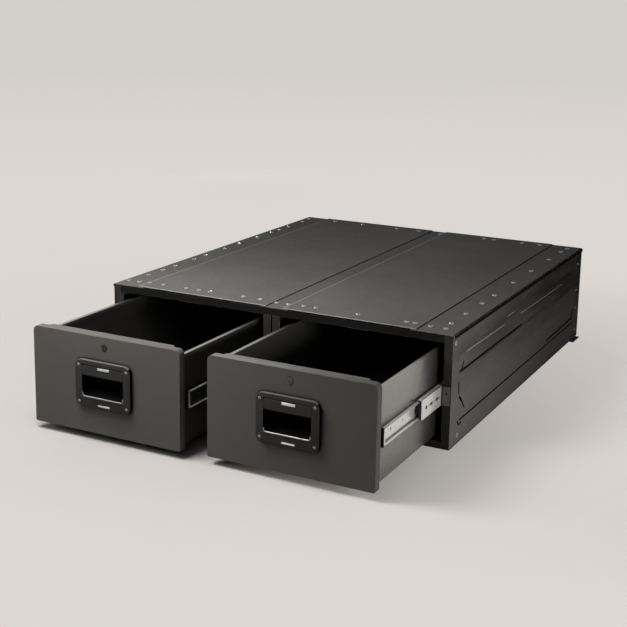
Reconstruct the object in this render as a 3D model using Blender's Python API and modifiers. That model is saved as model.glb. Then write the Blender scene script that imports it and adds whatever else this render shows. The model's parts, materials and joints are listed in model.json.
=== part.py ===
"""Double drawer system: a low steel cabinet with two long drawers side by side.

Metres, +Z up, +Y towards the back.  The origin is the middle of the cabinet's
underside.  Every piece is built where it sits with the drawers shut, in the frame of
an empty that carries it, and the empties then stand where the drawers are pulled to.
"""

import math

import bmesh
import bpy
from mathutils import Matrix, Vector

# Cabinet
CABINET_WIDTH = 1.000
CABINET_DEPTH = 1.157
CABINET_HEIGHT = 0.291
CABINET_SHEET = 0.002
SEAM = 0.0003
OVERRUN = 0.002
WELD_DISTANCE = 0.000001

# Side panels, their front posts and their pressed ribs
POST_WIDTH = 0.0215
POST_RETURN = 0.014
PRESSING_PROUD = 0.0030
PRESSING_SLOPE = 0.0035
PRESSING_FRONT = 0.044
PRESSING_BACK = 0.064
PRESSING_RAKE = 0.030
UPPER_PRESSING_TOP = 0.056
UPPER_PRESSING_HEIGHT = 0.046
LOWER_PRESSING_TOP = 0.107
LOWER_PRESSING_HEIGHT = 0.123

# Back panel
BACK_RIB_HEIGHT = 0.030
BACK_RIB_MARGIN = 0.060

# Centre uprights, sill and front rail
DIVIDER_GAP = 0.004
UPRIGHT_FLANGE = 0.022
SILL_HEIGHT = 0.018
RAIL_HEIGHT = 0.019
RAIL_DEPTH = 0.025

# Top strips and deck panels
STRIP_SHEET = 0.002
STRIP_SKIRT = 0.010
LEFT_STRIP_SHOWN = 0.083
RIGHT_STRIP_SHOWN = 0.100
CENTRE_STRIP_LEFT = 0.019
CENTRE_STRIP_RIGHT = 0.031
STRIP_LAP = 0.015
DECK_SHEET = 0.002

# Hold-down brackets at the back corners
BRACKET_LENGTH = 0.070
BRACKET_FROM_BACK = 0.020
BRACKET_TOE = 0.014
BRACKET_LEG = 0.012
BRACKET_HOLE = 0.006

# Slides: sections are given from the support face (u) and from the slide's axis (v)
SLIDE_THICKNESS = 0.0191
SLIDE_SHEET = 0.0012
SLIDE_RISE = 0.108
CABINET_MEMBER_HEIGHT = 0.057
CABINET_MEMBER_FLANGE = 0.0132
INTERMEDIATE_FLANGE = 0.0130
DRAWER_MEMBER_FLANGE = 0.0109
BALL_DIAMETER = 0.0033
BALL_PLAY = 0.00015
RACE_DEPTH = 0.0008
RACE_FLAT = 0.002
RACE_SLOPE = 0.001
OUTER_BALL_REACH = 0.0075
INNER_BALL_REACH = 0.0120
CAGE_SHEET = 0.0006
OUTER_CAGE_FLANGE = 0.0087
INNER_CAGE_FLANGE = 0.0107
CAGE_LENGTH = 0.450
BALLS_PER_ROW = 3
BALL_SEGMENTS = 8
BALL_RINGS = 6
SLIDE_HOLE = 0.0065
SLIDE_SLOT = 0.018
HOLE_SEGMENTS = 12

# Slide members and cages along the cabinet, with the drawers shut
CABINET_MEMBER_FRONT = 0.026
CABINET_MEMBER_LENGTH = 1.054
INTERMEDIATE_FRONT = 0.054
INTERMEDIATE_LENGTH = 0.986
INTERMEDIATE_NOSE = 0.010
DRAWER_MEMBER_FRONT = 0.043
DRAWER_MEMBER_LENGTH = 0.986
OUTER_CAGE_FRONT = 0.300
INNER_CAGE_FRONT = 0.315
EAR_SHEET = 0.0015
EAR_HEIGHT = 0.048
EAR_HOLE = 0.006
EAR_RADIUS = 0.004

# Slide supports
SUPPORT_SHEET = 0.002
SUPPORT_HEIGHT = 0.066
SUPPORT_BACK_GAP = 0.040

# Drawers
DRAWER_SHEET = 0.0015
LEFT_DRAWER_OUT = 0.374
RIGHT_DRAWER_OUT = 0.363
FRONT_SIDE_GAP = 0.0105
FRONT_EDGE_GAP = 0.002
FRONT_PAN_DEPTH = 0.022
FRONT_TOP_RADIUS = 0.013
FRONT_BOTTOM_RADIUS = 0.004
TOP_FLANGE_DEPTH = 0.033
TOP_FLANGE_INSET = 0.032
TOP_FLANGE_CHAMFER = 0.004
TRAY_BOTTOM_STEP = 0.009
TRAY_TOP_STEP = 0.018
TRAY_BACK_GAP = 0.035
TRAY_RIM = 0.010
TRAY_RIM_DROP = 0.006
TRAY_BACK_FOOT = 0.012

# Latch frame and its hand pocket
LATCH_WIDTH = 0.162
LATCH_HEIGHT = 0.120
LATCH_RADIUS = 0.018
LATCH_PROUD = 0.010
LATCH_EDGE = 0.0015
LATCH_DROP = 0.1210
WINDOW_WIDTH = 0.122
WINDOW_TOP_RIM = 0.011
WINDOW_BOTTOM_RIM = 0.0280
POCKET_DEPTH = 0.032
POCKET_WALL = 0.002
POCKET_RISE = 0.014
POCKET_CLEARANCE = 0.0005
LIP_RADIUS = 0.0028

# Paddle, its pin and its arm
PADDLE_HEIGHT = 0.0260
PADDLE_SHEET = 0.002
PADDLE_LIP_DEPTH = 0.016
PADDLE_LIP_DROP = 0.0086
PADDLE_END_GAP = 0.0008
BARREL_RADIUS = 0.005
PIN_RADIUS = 0.002
PIN_SOCKET = 0.006
ARM_WIDTH = 0.010
ARM_THICKNESS = 0.005
ARM_SLOT_GAP = 0.002
PADDLE_SWING = math.radians(15)

# Slam bolt, its spring and its case, to the left of the latch's middle
BOLT_OFFSET = 0.034
BOLT_WIDTH = 0.022
BOLT_THICKNESS = 0.004
BOLT_GAP = 0.0045
BOLT_TIP_GAP = 0.0042
BOLT_BEVEL_DROP = 0.008
BOLT_FOOT = 0.0135
BOLT_WINDOW_PLAY = 0.0023
CASE_SHEET = 0.0015
CASE_SIDE_GAP = 0.001
CASE_DEPTH = 0.0127
CASE_FLANGE = 0.008
SPRING_LENGTH = 0.0477
SPRING_RADIUS = 0.0040
SPRING_WIRE = 0.0006
SPRING_TURNS = 6
SPRING_POINTS_PER_TURN = 9

# Cam lock
LOCK_DROP = 0.0262
LOCK_RADIUS = 0.0065
LOCK_BEZEL = 0.0080
LOCK_BEZEL_PROUD = 0.0015
LOCK_BODY_LENGTH = 0.028
LOCK_HUB_RADIUS = 0.005
CAM_REACH = 0.022
CAM_SHEET = 0.002
KEY_SLOT_WIDTH = 0.0015
KEY_SLOT_LENGTH = 0.007
KEY_SLOT_DEPTH = 0.004
ROUND_SEGMENTS = 24

# Striker under the front rail
STRIKER_SHEET = 0.002
STRIKER_SET_BACK = 0.004
STRIKER_BOLT_GAP = 0.0005
STRIKER_OVERLAP = 0.008
STRIKER_MARGIN = 0.005

# Colours, roughness and metallic values of the finishes
FINISHES = {
    "dark_powder_coat": ((0.060, 0.058, 0.054, 1.0), 0.55, 0.2),
    "deck_coat": ((0.085, 0.084, 0.079, 1.0), 0.65, 0.1),
    "latch_coat": ((0.045, 0.043, 0.040, 1.0), 0.45, 0.3),
    "bright_zinc": ((0.72, 0.72, 0.70, 1.0), 0.28, 1.0),
    "dark_steel": ((0.10, 0.10, 0.10, 1.0), 0.40, 0.9),
}

# Places worked out from the sizes above
half_width = CABINET_WIDTH / 2
front_y = -CABINET_DEPTH / 2
back_y = CABINET_DEPTH / 2
skin_x = half_width - PRESSING_PROUD
post_x = skin_x - POST_WIDTH
upright_x = DIVIDER_GAP / 2
upright_edge_x = upright_x + UPRIGHT_FLANGE
bay_middle_x = (post_x + upright_edge_x) / 2
bay_width = post_x - upright_edge_x
frame_top_z = CABINET_HEIGHT - STRIP_SHEET - SEAM
rail_bottom_z = frame_top_z - RAIL_HEIGHT

front_width = bay_width - 2 * FRONT_SIDE_GAP
front_bottom_z = SILL_HEIGHT + FRONT_EDGE_GAP
front_top_z = rail_bottom_z - FRONT_EDGE_GAP
tray_width = bay_width - 2 * (SLIDE_THICKNESS + 2 * SEAM)
tray_bottom_z = front_bottom_z + TRAY_BOTTOM_STEP
tray_top_z = front_top_z - TRAY_TOP_STEP
tray_back_y = back_y - TRAY_BACK_GAP
slide_z = tray_bottom_z + SLIDE_RISE

latch_z = front_top_z - LATCH_DROP
window_top_z = latch_z + LATCH_HEIGHT / 2 - WINDOW_TOP_RIM
window_bottom_z = latch_z - LATCH_HEIGHT / 2 + WINDOW_BOTTOM_RIM
latch_face_y = front_y - LATCH_PROUD
pocket_back_y = front_y + POCKET_DEPTH
dish_back_y = pocket_back_y + POCKET_WALL
pivot_y = latch_face_y + BARREL_RADIUS
pivot_z = window_top_z - POCKET_CLEARANCE - BARREL_RADIUS
bolt_y = dish_back_y + BOLT_GAP
bolt_back_y = bolt_y + BOLT_THICKNESS
bolt_tip_z = rail_bottom_z - BOLT_TIP_GAP
arm_end_y = bolt_back_y + BOLT_WINDOW_PLAY / 2
lock_z = front_top_z - LOCK_DROP

model = bpy.data.collections.new("double_drawer_system")
cutters = bpy.data.collections.new("cutters")


def clear_scene():
    """Remove whatever the file opens with, and add the two collections."""
    for thing in list(bpy.data.objects):
        bpy.data.objects.remove(thing, do_unlink=True)
    bpy.context.scene.collection.children.link(model)
    bpy.context.scene.collection.children.link(cutters)


def make_finishes():
    """One Principled material for each finish."""
    for name, (colour, roughness, metallic) in FINISHES.items():
        material = bpy.data.materials.new(name)
        material.use_nodes = True
        shader = material.node_tree.nodes["Principled BSDF"]
        shader.inputs["Base Color"].default_value = colour
        shader.inputs["Roughness"].default_value = roughness
        shader.inputs["Metallic"].default_value = metallic
        material.diffuse_color = colour


def piece_material(name, finish):
    """The piece's own material, a copy of its finish."""
    material = bpy.data.materials[finish].copy()
    material.name = name + "_" + finish
    return material


# Outlines

def rectangle(low_a, high_a, low_b, high_b):
    """The four corners of an upright rectangle."""
    return [(low_a, low_b), (high_a, low_b), (high_a, high_b), (low_a, high_b)]


def arc(centre, radius, start, end, steps):
    """Points along an arc, ends included; the angles are in degrees."""
    points = []
    for step in range(steps + 1):
        angle = math.radians(start + (end - start) * step / steps)
        points.append((centre[0] + radius * math.cos(angle), centre[1] + radius * math.sin(angle)))
    return points


def circle(centre, radius, segments):
    """A closed circle's points."""
    return arc(centre, radius, 0, 360 - 360 / segments, segments - 1)


def slot(centre, length, width, segments):
    """A slot with round ends, lying along the first direction."""
    reach = (length - width) / 2
    half_turn = segments // 2
    right = arc((centre[0] + reach, centre[1]), width / 2, -90, 90, half_turn)
    left = arc((centre[0] - reach, centre[1]), width / 2, 90, 270, half_turn)
    return right + left


def rounded_rectangle(low_a, high_a, low_b, high_b, bottom_radius, top_radius, steps):
    """A rectangle whose lower and upper corners have their own radius."""
    corners = [
        (high_a - bottom_radius, low_b + bottom_radius, bottom_radius, -90),
        (high_a - top_radius, high_b - top_radius, top_radius, 0),
        (low_a + top_radius, high_b - top_radius, top_radius, 90),
        (low_a + bottom_radius, low_b + bottom_radius, bottom_radius, 180),
    ]
    points = []
    for a, b, radius, start in corners:
        points += arc((a, b), radius, start, start + 90, steps)
    return points


def folded_sheet(path, thickness):
    """A folded sheet's section: its outer path, and the same path set in to the left."""
    points = [Vector(point) for point in path]
    lefts = []
    for here, there in zip(points, points[1:]):
        run = (there - here).normalized()
        lefts.append(Vector((-run.y, run.x)))
    inner = []
    for index, point in enumerate(points):
        before = lefts[max(index - 1, 0)]
        after = lefts[min(index, len(lefts) - 1)]
        mitre = (before + after).normalized()
        inner.append(point + mitre * (thickness / mitre.dot(after)))
    return [tuple(point) for point in points + inner[::-1]]


# Solids

def link_solid(name, mesh, finish):
    """A named piece of the model."""
    piece = bpy.data.objects.new(name, mesh)
    mesh.materials.append(piece_material(name, finish))
    model.objects.link(piece)
    return piece


def link_cutter(name, mesh):
    """A hidden body that a Boolean uses."""
    cutter = bpy.data.objects.new(name, mesh)
    cutter.hide_render = True
    cutter.display_type = "WIRE"
    cutters.objects.link(cutter)
    return cutter


# A prism's outline lies in the plane of two axes, and runs along the third
PRISM_FRAMES = {
    "X": Matrix(((0, 0, 1, 0), (1, 0, 0, 0), (0, 1, 0, 0), (0, 0, 0, 1))),
    "Y": Matrix(((1, 0, 0, 0), (0, 0, -1, 0), (0, 1, 0, 0), (0, 0, 0, 1))),
    "Z": Matrix.Identity(4),
}


def prism_mesh(name, loops, axis, low, high):
    """A flat outline, holes included, drawn out along an axis from low to high."""
    curve = bpy.data.curves.new(name, "CURVE")
    curve.dimensions = "2D"
    curve.fill_mode = "BOTH"
    curve.extrude = (high - low) / 2
    for loop in loops:
        spline = curve.splines.new("POLY")
        spline.points.add(len(loop) - 1)
        for point, (a, b) in zip(spline.points, loop):
            point.co = (a, b, 0, 1)
        spline.use_cyclic_u = True
    holder = bpy.data.objects.new(name, curve)
    holder.matrix_world = PRISM_FRAMES[axis]
    mesh = welded_mesh(holder)
    middle = (low + high) / 2
    shift = {"X": (middle, 0, 0), "Y": (0, middle, 0), "Z": (0, 0, middle)}[axis]
    mesh.transform(Matrix.Translation(shift))
    return mesh


def welded_mesh(holder):
    """A curve object's mesh in the model's frame, closed, with its faces outwards."""
    bpy.context.scene.collection.objects.link(holder)
    bpy.context.view_layer.update()
    evaluated = holder.evaluated_get(bpy.context.evaluated_depsgraph_get())
    mesh = bpy.data.meshes.new_from_object(evaluated)
    mesh.transform(holder.matrix_world)
    shape = bmesh.new()
    shape.from_mesh(mesh)
    bmesh.ops.remove_doubles(shape, verts=shape.verts, dist=WELD_DISTANCE)
    bmesh.ops.recalc_face_normals(shape, faces=shape.faces)
    shape.to_mesh(mesh)
    shape.free()
    curve = holder.data
    bpy.data.objects.remove(holder, do_unlink=True)
    bpy.data.curves.remove(curve)
    mesh.name = "solid"
    return mesh


def box_mesh(low, high):
    """A box between two corners."""
    shape = bmesh.new()
    bmesh.ops.create_cube(shape, size=1)
    size = [top - bottom for bottom, top in zip(low, high)]
    middle = [(top + bottom) / 2 for bottom, top in zip(low, high)]
    bmesh.ops.scale(shape, vec=size, verts=shape.verts)
    bmesh.ops.translate(shape, vec=middle, verts=shape.verts)
    mesh = bpy.data.meshes.new("box")
    shape.to_mesh(mesh)
    shape.free()
    return mesh


def rod_mesh(radius, low, high, y, z, segments):
    """A round bar along X."""
    shape = bmesh.new()
    turn = Matrix.Rotation(math.radians(90), 4, "Y")
    place = Matrix.Translation(((low + high) / 2, y, z))
    bmesh.ops.create_cone(
        shape, cap_ends=True, segments=segments, radius1=radius, radius2=radius,
        depth=high - low, matrix=place @ turn)
    mesh = bpy.data.meshes.new("rod")
    shape.to_mesh(mesh)
    shape.free()
    return mesh


def combine(piece, cutter_mesh, operation, carrier=None):
    """Join, cut or trim a piece with another body, in the same carried frame."""
    cutter = link_cutter(piece.name + "_" + operation.lower(), cutter_mesh)
    cutter.parent = carrier
    modifier = piece.modifiers.new(operation.lower(), "BOOLEAN")
    modifier.operation = operation
    modifier.solver = "EXACT"
    modifier.object = cutter


def carry(piece, carrier, origin=(0, 0, 0)):
    """Put a piece in its carrier's frame, with its own origin at a point of that frame."""
    piece.data.transform(Matrix.Translation(-Vector(origin)))
    piece.location = origin
    piece.parent = carrier
    return piece


def add_carrier(name, out):
    """An empty that stands as far out of the cabinet as its pieces are pulled."""
    carrier = bpy.data.objects.new(name, None)
    carrier.location = (0, -out, 0)
    model.objects.link(carrier)
    return carrier


def pressed_mesh(columns, rows, place, reverse):
    """An open sheet on a grid: place gives each crossing of a column and a row."""
    shape = bmesh.new()
    bmesh.ops.create_grid(shape, x_segments=columns - 1, y_segments=rows - 1, size=1)
    for vertex in shape.verts:
        column = round((vertex.co.x + 1) / 2 * (columns - 1))
        row = round((vertex.co.y + 1) / 2 * (rows - 1))
        vertex.co = place(column, row)
    if reverse:
        bmesh.ops.reverse_faces(shape, faces=shape.faces)
    mesh = bpy.data.meshes.new("sheet")
    shape.to_mesh(mesh)
    shape.free()
    return mesh


def thicken(piece, thickness):
    """Give an open sheet its thickness, on the side away from its outer face."""
    modifier = piece.modifiers.new("sheet", "SOLIDIFY")
    modifier.thickness = thickness
    modifier.offset = -1
    modifier.use_even_offset = True
    modifier.use_quality_normals = True


# Cabinet pieces

def build_base_pan():
    """Floor of the cabinet, turned up all round, with its front edge as the sill."""
    half = skin_x - CABINET_SHEET - SEAM
    back = back_y - CABINET_SHEET - SEAM
    pan = link_solid("base_pan", box_mesh((-half, front_y, 0), (half, back, SILL_HEIGHT)),
                     "dark_powder_coat")
    inside = box_mesh(
        (-half + CABINET_SHEET, front_y + CABINET_SHEET, CABINET_SHEET),
        (half - CABINET_SHEET, back - CABINET_SHEET, SILL_HEIGHT + OVERRUN))
    combine(pan, inside, "DIFFERENCE")
    notch_x = post_x - SEAM
    notch_y = front_y + POST_RETURN + SEAM
    for side in (-1, 1):
        reach = sorted((side * notch_x, side * (half + OVERRUN)))
        notch = box_mesh(
            (reach[0], front_y - OVERRUN, -OVERRUN),
            (reach[1], notch_y, SILL_HEIGHT + OVERRUN))
        combine(pan, notch, "DIFFERENCE")


def side_rows():
    """Heights of the side panel's rows, each with the pressing it edges, if any."""
    upper_top = CABINET_HEIGHT - UPPER_PRESSING_TOP
    upper_bottom = upper_top - UPPER_PRESSING_HEIGHT
    lower_top = CABINET_HEIGHT - LOWER_PRESSING_TOP
    lower_bottom = lower_top - LOWER_PRESSING_HEIGHT
    return [
        (SEAM, 0), (lower_bottom, 0), (lower_bottom + PRESSING_SLOPE, 1),
        (lower_top - PRESSING_SLOPE, 1), (lower_top, 0), (upper_bottom, 0),
        (upper_bottom + PRESSING_SLOPE, 1), (upper_top - PRESSING_SLOPE, 1),
        (upper_top, 0), (frame_top_z, 0),
    ]


def build_side_panel(name, side):
    """Outer skin with two pressed ribs, folded round at the front into a post."""
    rows = side_rows()
    lower_bottom = rows[1][0]
    lower_top = rows[4][0]
    pressing_start = front_y + PRESSING_FRONT
    pressing_end = back_y - PRESSING_BACK
    columns = [
        (post_x, front_y + POST_RETURN, 0, 0), (post_x, front_y, 0, 0),
        (skin_x, front_y, 0, 0), (skin_x, pressing_start, 0, PRESSING_RAKE),
        (skin_x, pressing_start + PRESSING_SLOPE, 1, PRESSING_RAKE),
        (skin_x, pressing_end - PRESSING_SLOPE, 1, 0), (skin_x, pressing_end, 0, 0),
        (skin_x, back_y, 0, 0),
    ]

    def place(column, row):
        x, y, raised, rake = columns[column]
        z, pressed = rows[row]
        fall = min(max((lower_top - z) / (lower_top - lower_bottom), 0), 1)
        return (side * (x + PRESSING_PROUD * raised * pressed), y + rake * fall, z)

    mesh = pressed_mesh(len(columns), len(rows), place, reverse=side < 0)
    thicken(link_solid(name, mesh, "dark_powder_coat"), CABINET_SHEET)


def build_back_panel():
    """Back sheet with two level ribs pressed outwards from its inner face."""
    half = skin_x - CABINET_SHEET - SEAM
    rib_end = half - BACK_RIB_MARGIN
    face_y = back_y - PRESSING_PROUD
    columns = [(-half, 0), (-rib_end, 0), (-rib_end + PRESSING_SLOPE, 1),
               (rib_end - PRESSING_SLOPE, 1), (rib_end, 0), (half, 0)]
    low_z = SILL_HEIGHT + SEAM
    span = frame_top_z - low_z
    rows = [(low_z, 0)]
    for share in (1 / 3, 2 / 3):
        middle = low_z + span * share
        bottom = middle - BACK_RIB_HEIGHT / 2
        top = middle + BACK_RIB_HEIGHT / 2
        rows += [(bottom, 0), (bottom + PRESSING_SLOPE, 1), (top - PRESSING_SLOPE, 1), (top, 0)]
    rows.append((frame_top_z, 0))

    def place(column, row):
        x, raised = columns[column]
        z, pressed = rows[row]
        return (x, face_y + PRESSING_PROUD * raised * pressed, z)

    mesh = pressed_mesh(len(columns), len(rows), place, reverse=True)
    thicken(link_solid("back_panel", mesh, "dark_powder_coat"), CABINET_SHEET)


def build_centre_upright(name, side):
    """Inner wall of a bay: a full-depth web with a flange folded out at the front."""
    web_back = back_y - PRESSING_PROUD - CABINET_SHEET - SEAM
    path = [(upright_x, web_back), (upright_x, front_y), (upright_edge_x, front_y)]
    outline = [(side * x, y) for x, y in folded_sheet(path, CABINET_SHEET)]
    low_z = CABINET_SHEET + SEAM
    upright = link_solid(name, prism_mesh(name, [outline], "Z", low_z, frame_top_z),
                         "dark_powder_coat")
    reach = sorted((0, side * (upright_edge_x + OVERRUN)))
    sill_notch = box_mesh(
        (reach[0], front_y - OVERRUN, low_z - OVERRUN),
        (reach[1], front_y + CABINET_SHEET + SEAM, SILL_HEIGHT + SEAM))
    combine(upright, sill_notch, "DIFFERENCE")
    rail_notch = box_mesh(
        (reach[0], front_y - OVERRUN, rail_bottom_z - SEAM),
        (reach[1], front_y + RAIL_DEPTH + SEAM, frame_top_z + OVERRUN))
    combine(upright, rail_notch, "DIFFERENCE")
    pan_notch = box_mesh(
        (reach[0], back_y - CABINET_SHEET * 2 - SEAM * 2, low_z - OVERRUN),
        (reach[1], back_y, SILL_HEIGHT + SEAM))
    combine(upright, pan_notch, "DIFFERENCE")


def build_front_rail():
    """Channel across the top of both bays, open to the back."""
    path = [(front_y + RAIL_DEPTH, frame_top_z), (front_y, frame_top_z),
            (front_y, rail_bottom_z), (front_y + RAIL_DEPTH, rail_bottom_z)]
    half = post_x - SEAM
    outline = folded_sheet(path, CABINET_SHEET)
    link_solid("front_rail", prism_mesh("front_rail", [outline], "X", -half, half),
               "dark_powder_coat")


def build_slide_support(name, face_x, inward, wall_x):
    """Channel that packs a slide off the cabinet wall; its web faces the drawer."""
    legs_x = wall_x + inward * SEAM
    low_z = slide_z - SUPPORT_HEIGHT / 2
    high_z = slide_z + SUPPORT_HEIGHT / 2
    path = [(legs_x, low_z), (face_x, low_z), (face_x, high_z), (legs_x, high_z)]
    if inward < 0:
        path.reverse()
    outline = folded_sheet([(x, z) for x, z in path], SUPPORT_SHEET)
    start = front_y + POST_RETURN + SEAM
    end = back_y - SUPPORT_BACK_GAP
    link_solid(name, prism_mesh(name, [outline], "Y", start, end), "dark_powder_coat")


def build_top_strips():
    """Side strips that fold over the cabinet's edges, and the strip over the divide."""
    for name, side, shown in (("top_strip_left", -1, LEFT_STRIP_SHOWN),
                              ("top_strip_right", 1, RIGHT_STRIP_SHOWN)):
        inner_x = half_width - shown - STRIP_LAP
        path = [(half_width, CABINET_HEIGHT - STRIP_SKIRT), (half_width, CABINET_HEIGHT),
                (inner_x, CABINET_HEIGHT)]
        outline = [(side * x, z) for x, z in folded_sheet(path, STRIP_SHEET)]
        mesh = prism_mesh(name, [outline], "Y", front_y, back_y)
        link_solid(name, mesh, "dark_powder_coat")
    low_z = CABINET_HEIGHT - STRIP_SHEET
    mesh = box_mesh((-CENTRE_STRIP_LEFT - STRIP_LAP, front_y, low_z),
                    (CENTRE_STRIP_RIGHT + STRIP_LAP, back_y, CABINET_HEIGHT))
    link_solid("top_strip_centre", mesh, "dark_powder_coat")


def build_deck_panels():
    """Load panels that lap over the strips."""
    low_z = CABINET_HEIGHT + SEAM
    spans = {
        "deck_panel_left": (LEFT_STRIP_SHOWN - half_width, -CENTRE_STRIP_LEFT),
        "deck_panel_right": (CENTRE_STRIP_RIGHT, half_width - RIGHT_STRIP_SHOWN),
    }
    for name, (low_x, high_x) in spans.items():
        mesh = box_mesh((low_x, front_y, low_z), (high_x, back_y, low_z + DECK_SHEET))
        link_solid(name, mesh, "deck_coat")


def build_hold_down(name, side):
    """Angle at a back corner that bolts the cabinet to the floor beside it."""
    heel_x = skin_x + SEAM
    path = [(heel_x + BRACKET_TOE, 0), (heel_x, 0), (heel_x, BRACKET_LEG)]
    outline = [(side * x, z) for x, z in folded_sheet(path[::-1], CABINET_SHEET)]
    end = back_y - BRACKET_FROM_BACK
    start = end - BRACKET_LENGTH
    bracket = link_solid(name, prism_mesh(name, [outline], "Y", start, end), "dark_powder_coat")
    hole_x = side * (heel_x + (CABINET_SHEET + BRACKET_TOE) / 2)
    hole = circle((hole_x, (start + end) / 2), BRACKET_HOLE / 2, HOLE_SEGMENTS)
    cutter = prism_mesh(name, [hole], "Z", -OVERRUN, CABINET_SHEET + OVERRUN)
    combine(bracket, cutter, "DIFFERENCE")


# Slides

cabinet_flange_v = CABINET_MEMBER_HEIGHT / 2 - RACE_DEPTH
outer_ball_v = CABINET_MEMBER_HEIGHT / 2 - SLIDE_SHEET - BALL_PLAY - BALL_DIAMETER / 2
intermediate_v = outer_ball_v - BALL_DIAMETER / 2 - BALL_PLAY + RACE_DEPTH
inner_ball_v = intermediate_v - SLIDE_SHEET - BALL_PLAY - BALL_DIAMETER / 2
drawer_member_v = inner_ball_v - BALL_DIAMETER / 2 - BALL_PLAY + RACE_DEPTH
cabinet_web_u = SEAM
outer_cage_web_u = cabinet_web_u + SLIDE_SHEET + SEAM
intermediate_web_u = outer_cage_web_u + CAGE_SHEET + SEAM
inner_cage_web_u = intermediate_web_u + SLIDE_SHEET + SEAM
drawer_web_u = SEAM + SLIDE_THICKNESS


def channel_path(web_u, flange_u, flange_v, race_u=None, race=0):
    """Outer path of a channel about the slide's axis; race bows its flanges at race_u."""
    towards = 1 if flange_u > web_u else -1
    half = [(web_u, flange_v)]
    if race_u is not None:
        flat = RACE_FLAT / 2 * towards
        slope = RACE_SLOPE * towards
        half += [(race_u - flat - slope, flange_v), (race_u - flat, flange_v + race),
                 (race_u + flat, flange_v + race), (race_u + flat + slope, flange_v)]
    half.append((flange_u, flange_v))
    lower = [(u, -v) for u, v in half[::-1]]
    path = lower + half
    return path if towards > 0 else path[::-1]


def slide_section(path, sheet, support_x, inward):
    """A member's section in the cabinet, from its path in slide coordinates."""
    outline = folded_sheet(path[::-1], sheet)
    return [(support_x + inward * u, slide_z + v) for u, v in outline]


def holes_along(start, length, hole_shares, slot_shares):
    """Round and slotted holes on a member's middle line, at shares of its length."""
    loops = []
    for share in hole_shares:
        loops.append(circle((start + length * share, slide_z), SLIDE_HOLE / 2, HOLE_SEGMENTS))
    for share in slot_shares:
        loops.append(slot((start + length * share, slide_z), SLIDE_SLOT, SLIDE_HOLE, HOLE_SEGMENTS))
    return loops


def plain_body(start, length, height):
    """Side view of a member that is square at both ends."""
    return rectangle(start, start + length, slide_z - height / 2, slide_z + height / 2)


def nosed_body(start, length, height):
    """Side view of a member with its front corners rounded off."""
    low_z = slide_z - height / 2
    high_z = slide_z + height / 2
    nose = INTERMEDIATE_NOSE
    points = [(start + length, low_z), (start + length, high_z)]
    points += arc((start + nose, high_z - nose), nose, 90, 180, 4)
    points += arc((start + nose, low_z + nose), nose, 180, 270, 4)
    return points


def tongued_body(start, length, height):
    """Side view of the cabinet member, whose web runs forward as a narrower tongue."""
    low_z = slide_z - height / 2
    high_z = slide_z + height / 2
    half = EAR_HEIGHT / 2 - SLIDE_SHEET
    return [(start, slide_z - half), (start + CABINET_MEMBER_FRONT, slide_z - half),
            (start + CABINET_MEMBER_FRONT, low_z), (start + length, low_z),
            (start + length, high_z), (start + CABINET_MEMBER_FRONT, high_z),
            (start + CABINET_MEMBER_FRONT, slide_z + half), (start, slide_z + half)]


CABINET_HOLE_SHARES = (0.08, 0.35, 0.65, 0.95)
INTERMEDIATE_HOLE_SHARES = (0.030, 0.46, 0.92)
INTERMEDIATE_SLOT_SHARES = (0.062, 0.098)
DRAWER_HOLE_SHARES = (0.012, 0.052, 0.5, 0.97)


def build_member(name, path, body, holes, support_x, inward, carrier):
    """A rolled channel: its section drawn out along the slide, trimmed to its side view."""
    section = slide_section(path, SLIDE_SHEET, support_x, inward)
    start = min(y for y, z in body)
    end = max(y for y, z in body)
    mesh = prism_mesh(name, [section], "Y", start - OVERRUN, end + OVERRUN)
    member = link_solid(name, mesh, "bright_zinc")
    reach = sorted((support_x - inward * OVERRUN,
                    support_x + inward * (SLIDE_THICKNESS + OVERRUN * 2)))
    combine(member, prism_mesh(name, [body] + holes, "X", *reach), "INTERSECT", carrier)
    return carry(member, carrier)


def build_ear(member, support_x, inward):
    """Ear at the front of the cabinet member, lying over the face of the post."""
    ear_y = front_y - SEAM - EAR_SHEET
    tip_x = support_x - inward * (POST_WIDTH - CABINET_SHEET)
    edge_x = support_x + inward * (cabinet_web_u + SLIDE_SHEET / 2)
    outline = ear_outline(tip_x, edge_x)
    hole = circle(((tip_x + support_x) / 2, slide_z + EAR_HEIGHT / 8), EAR_HOLE / 2,
                  HOLE_SEGMENTS)
    ear = prism_mesh(member.name, [outline, hole], "Y", ear_y, ear_y + EAR_SHEET)
    combine(member, ear, "UNION")


def ear_outline(tip_x, edge_x):
    """The ear from the front, with its two outer corners rounded."""
    low_z = slide_z - EAR_HEIGHT / 2
    high_z = slide_z + EAR_HEIGHT / 2
    points = [(edge_x, low_z), (edge_x, high_z)]
    if tip_x < edge_x:
        centre_x = tip_x + EAR_RADIUS
        points += arc((centre_x, high_z - EAR_RADIUS), EAR_RADIUS, 90, 180, 3)
        points += arc((centre_x, low_z + EAR_RADIUS), EAR_RADIUS, 180, 270, 3)
    else:
        centre_x = tip_x - EAR_RADIUS
        points += arc((centre_x, high_z - EAR_RADIUS), EAR_RADIUS, 90, 0, 3)
        points += arc((centre_x, low_z + EAR_RADIUS), EAR_RADIUS, 0, -90, 3)
    return points


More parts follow.
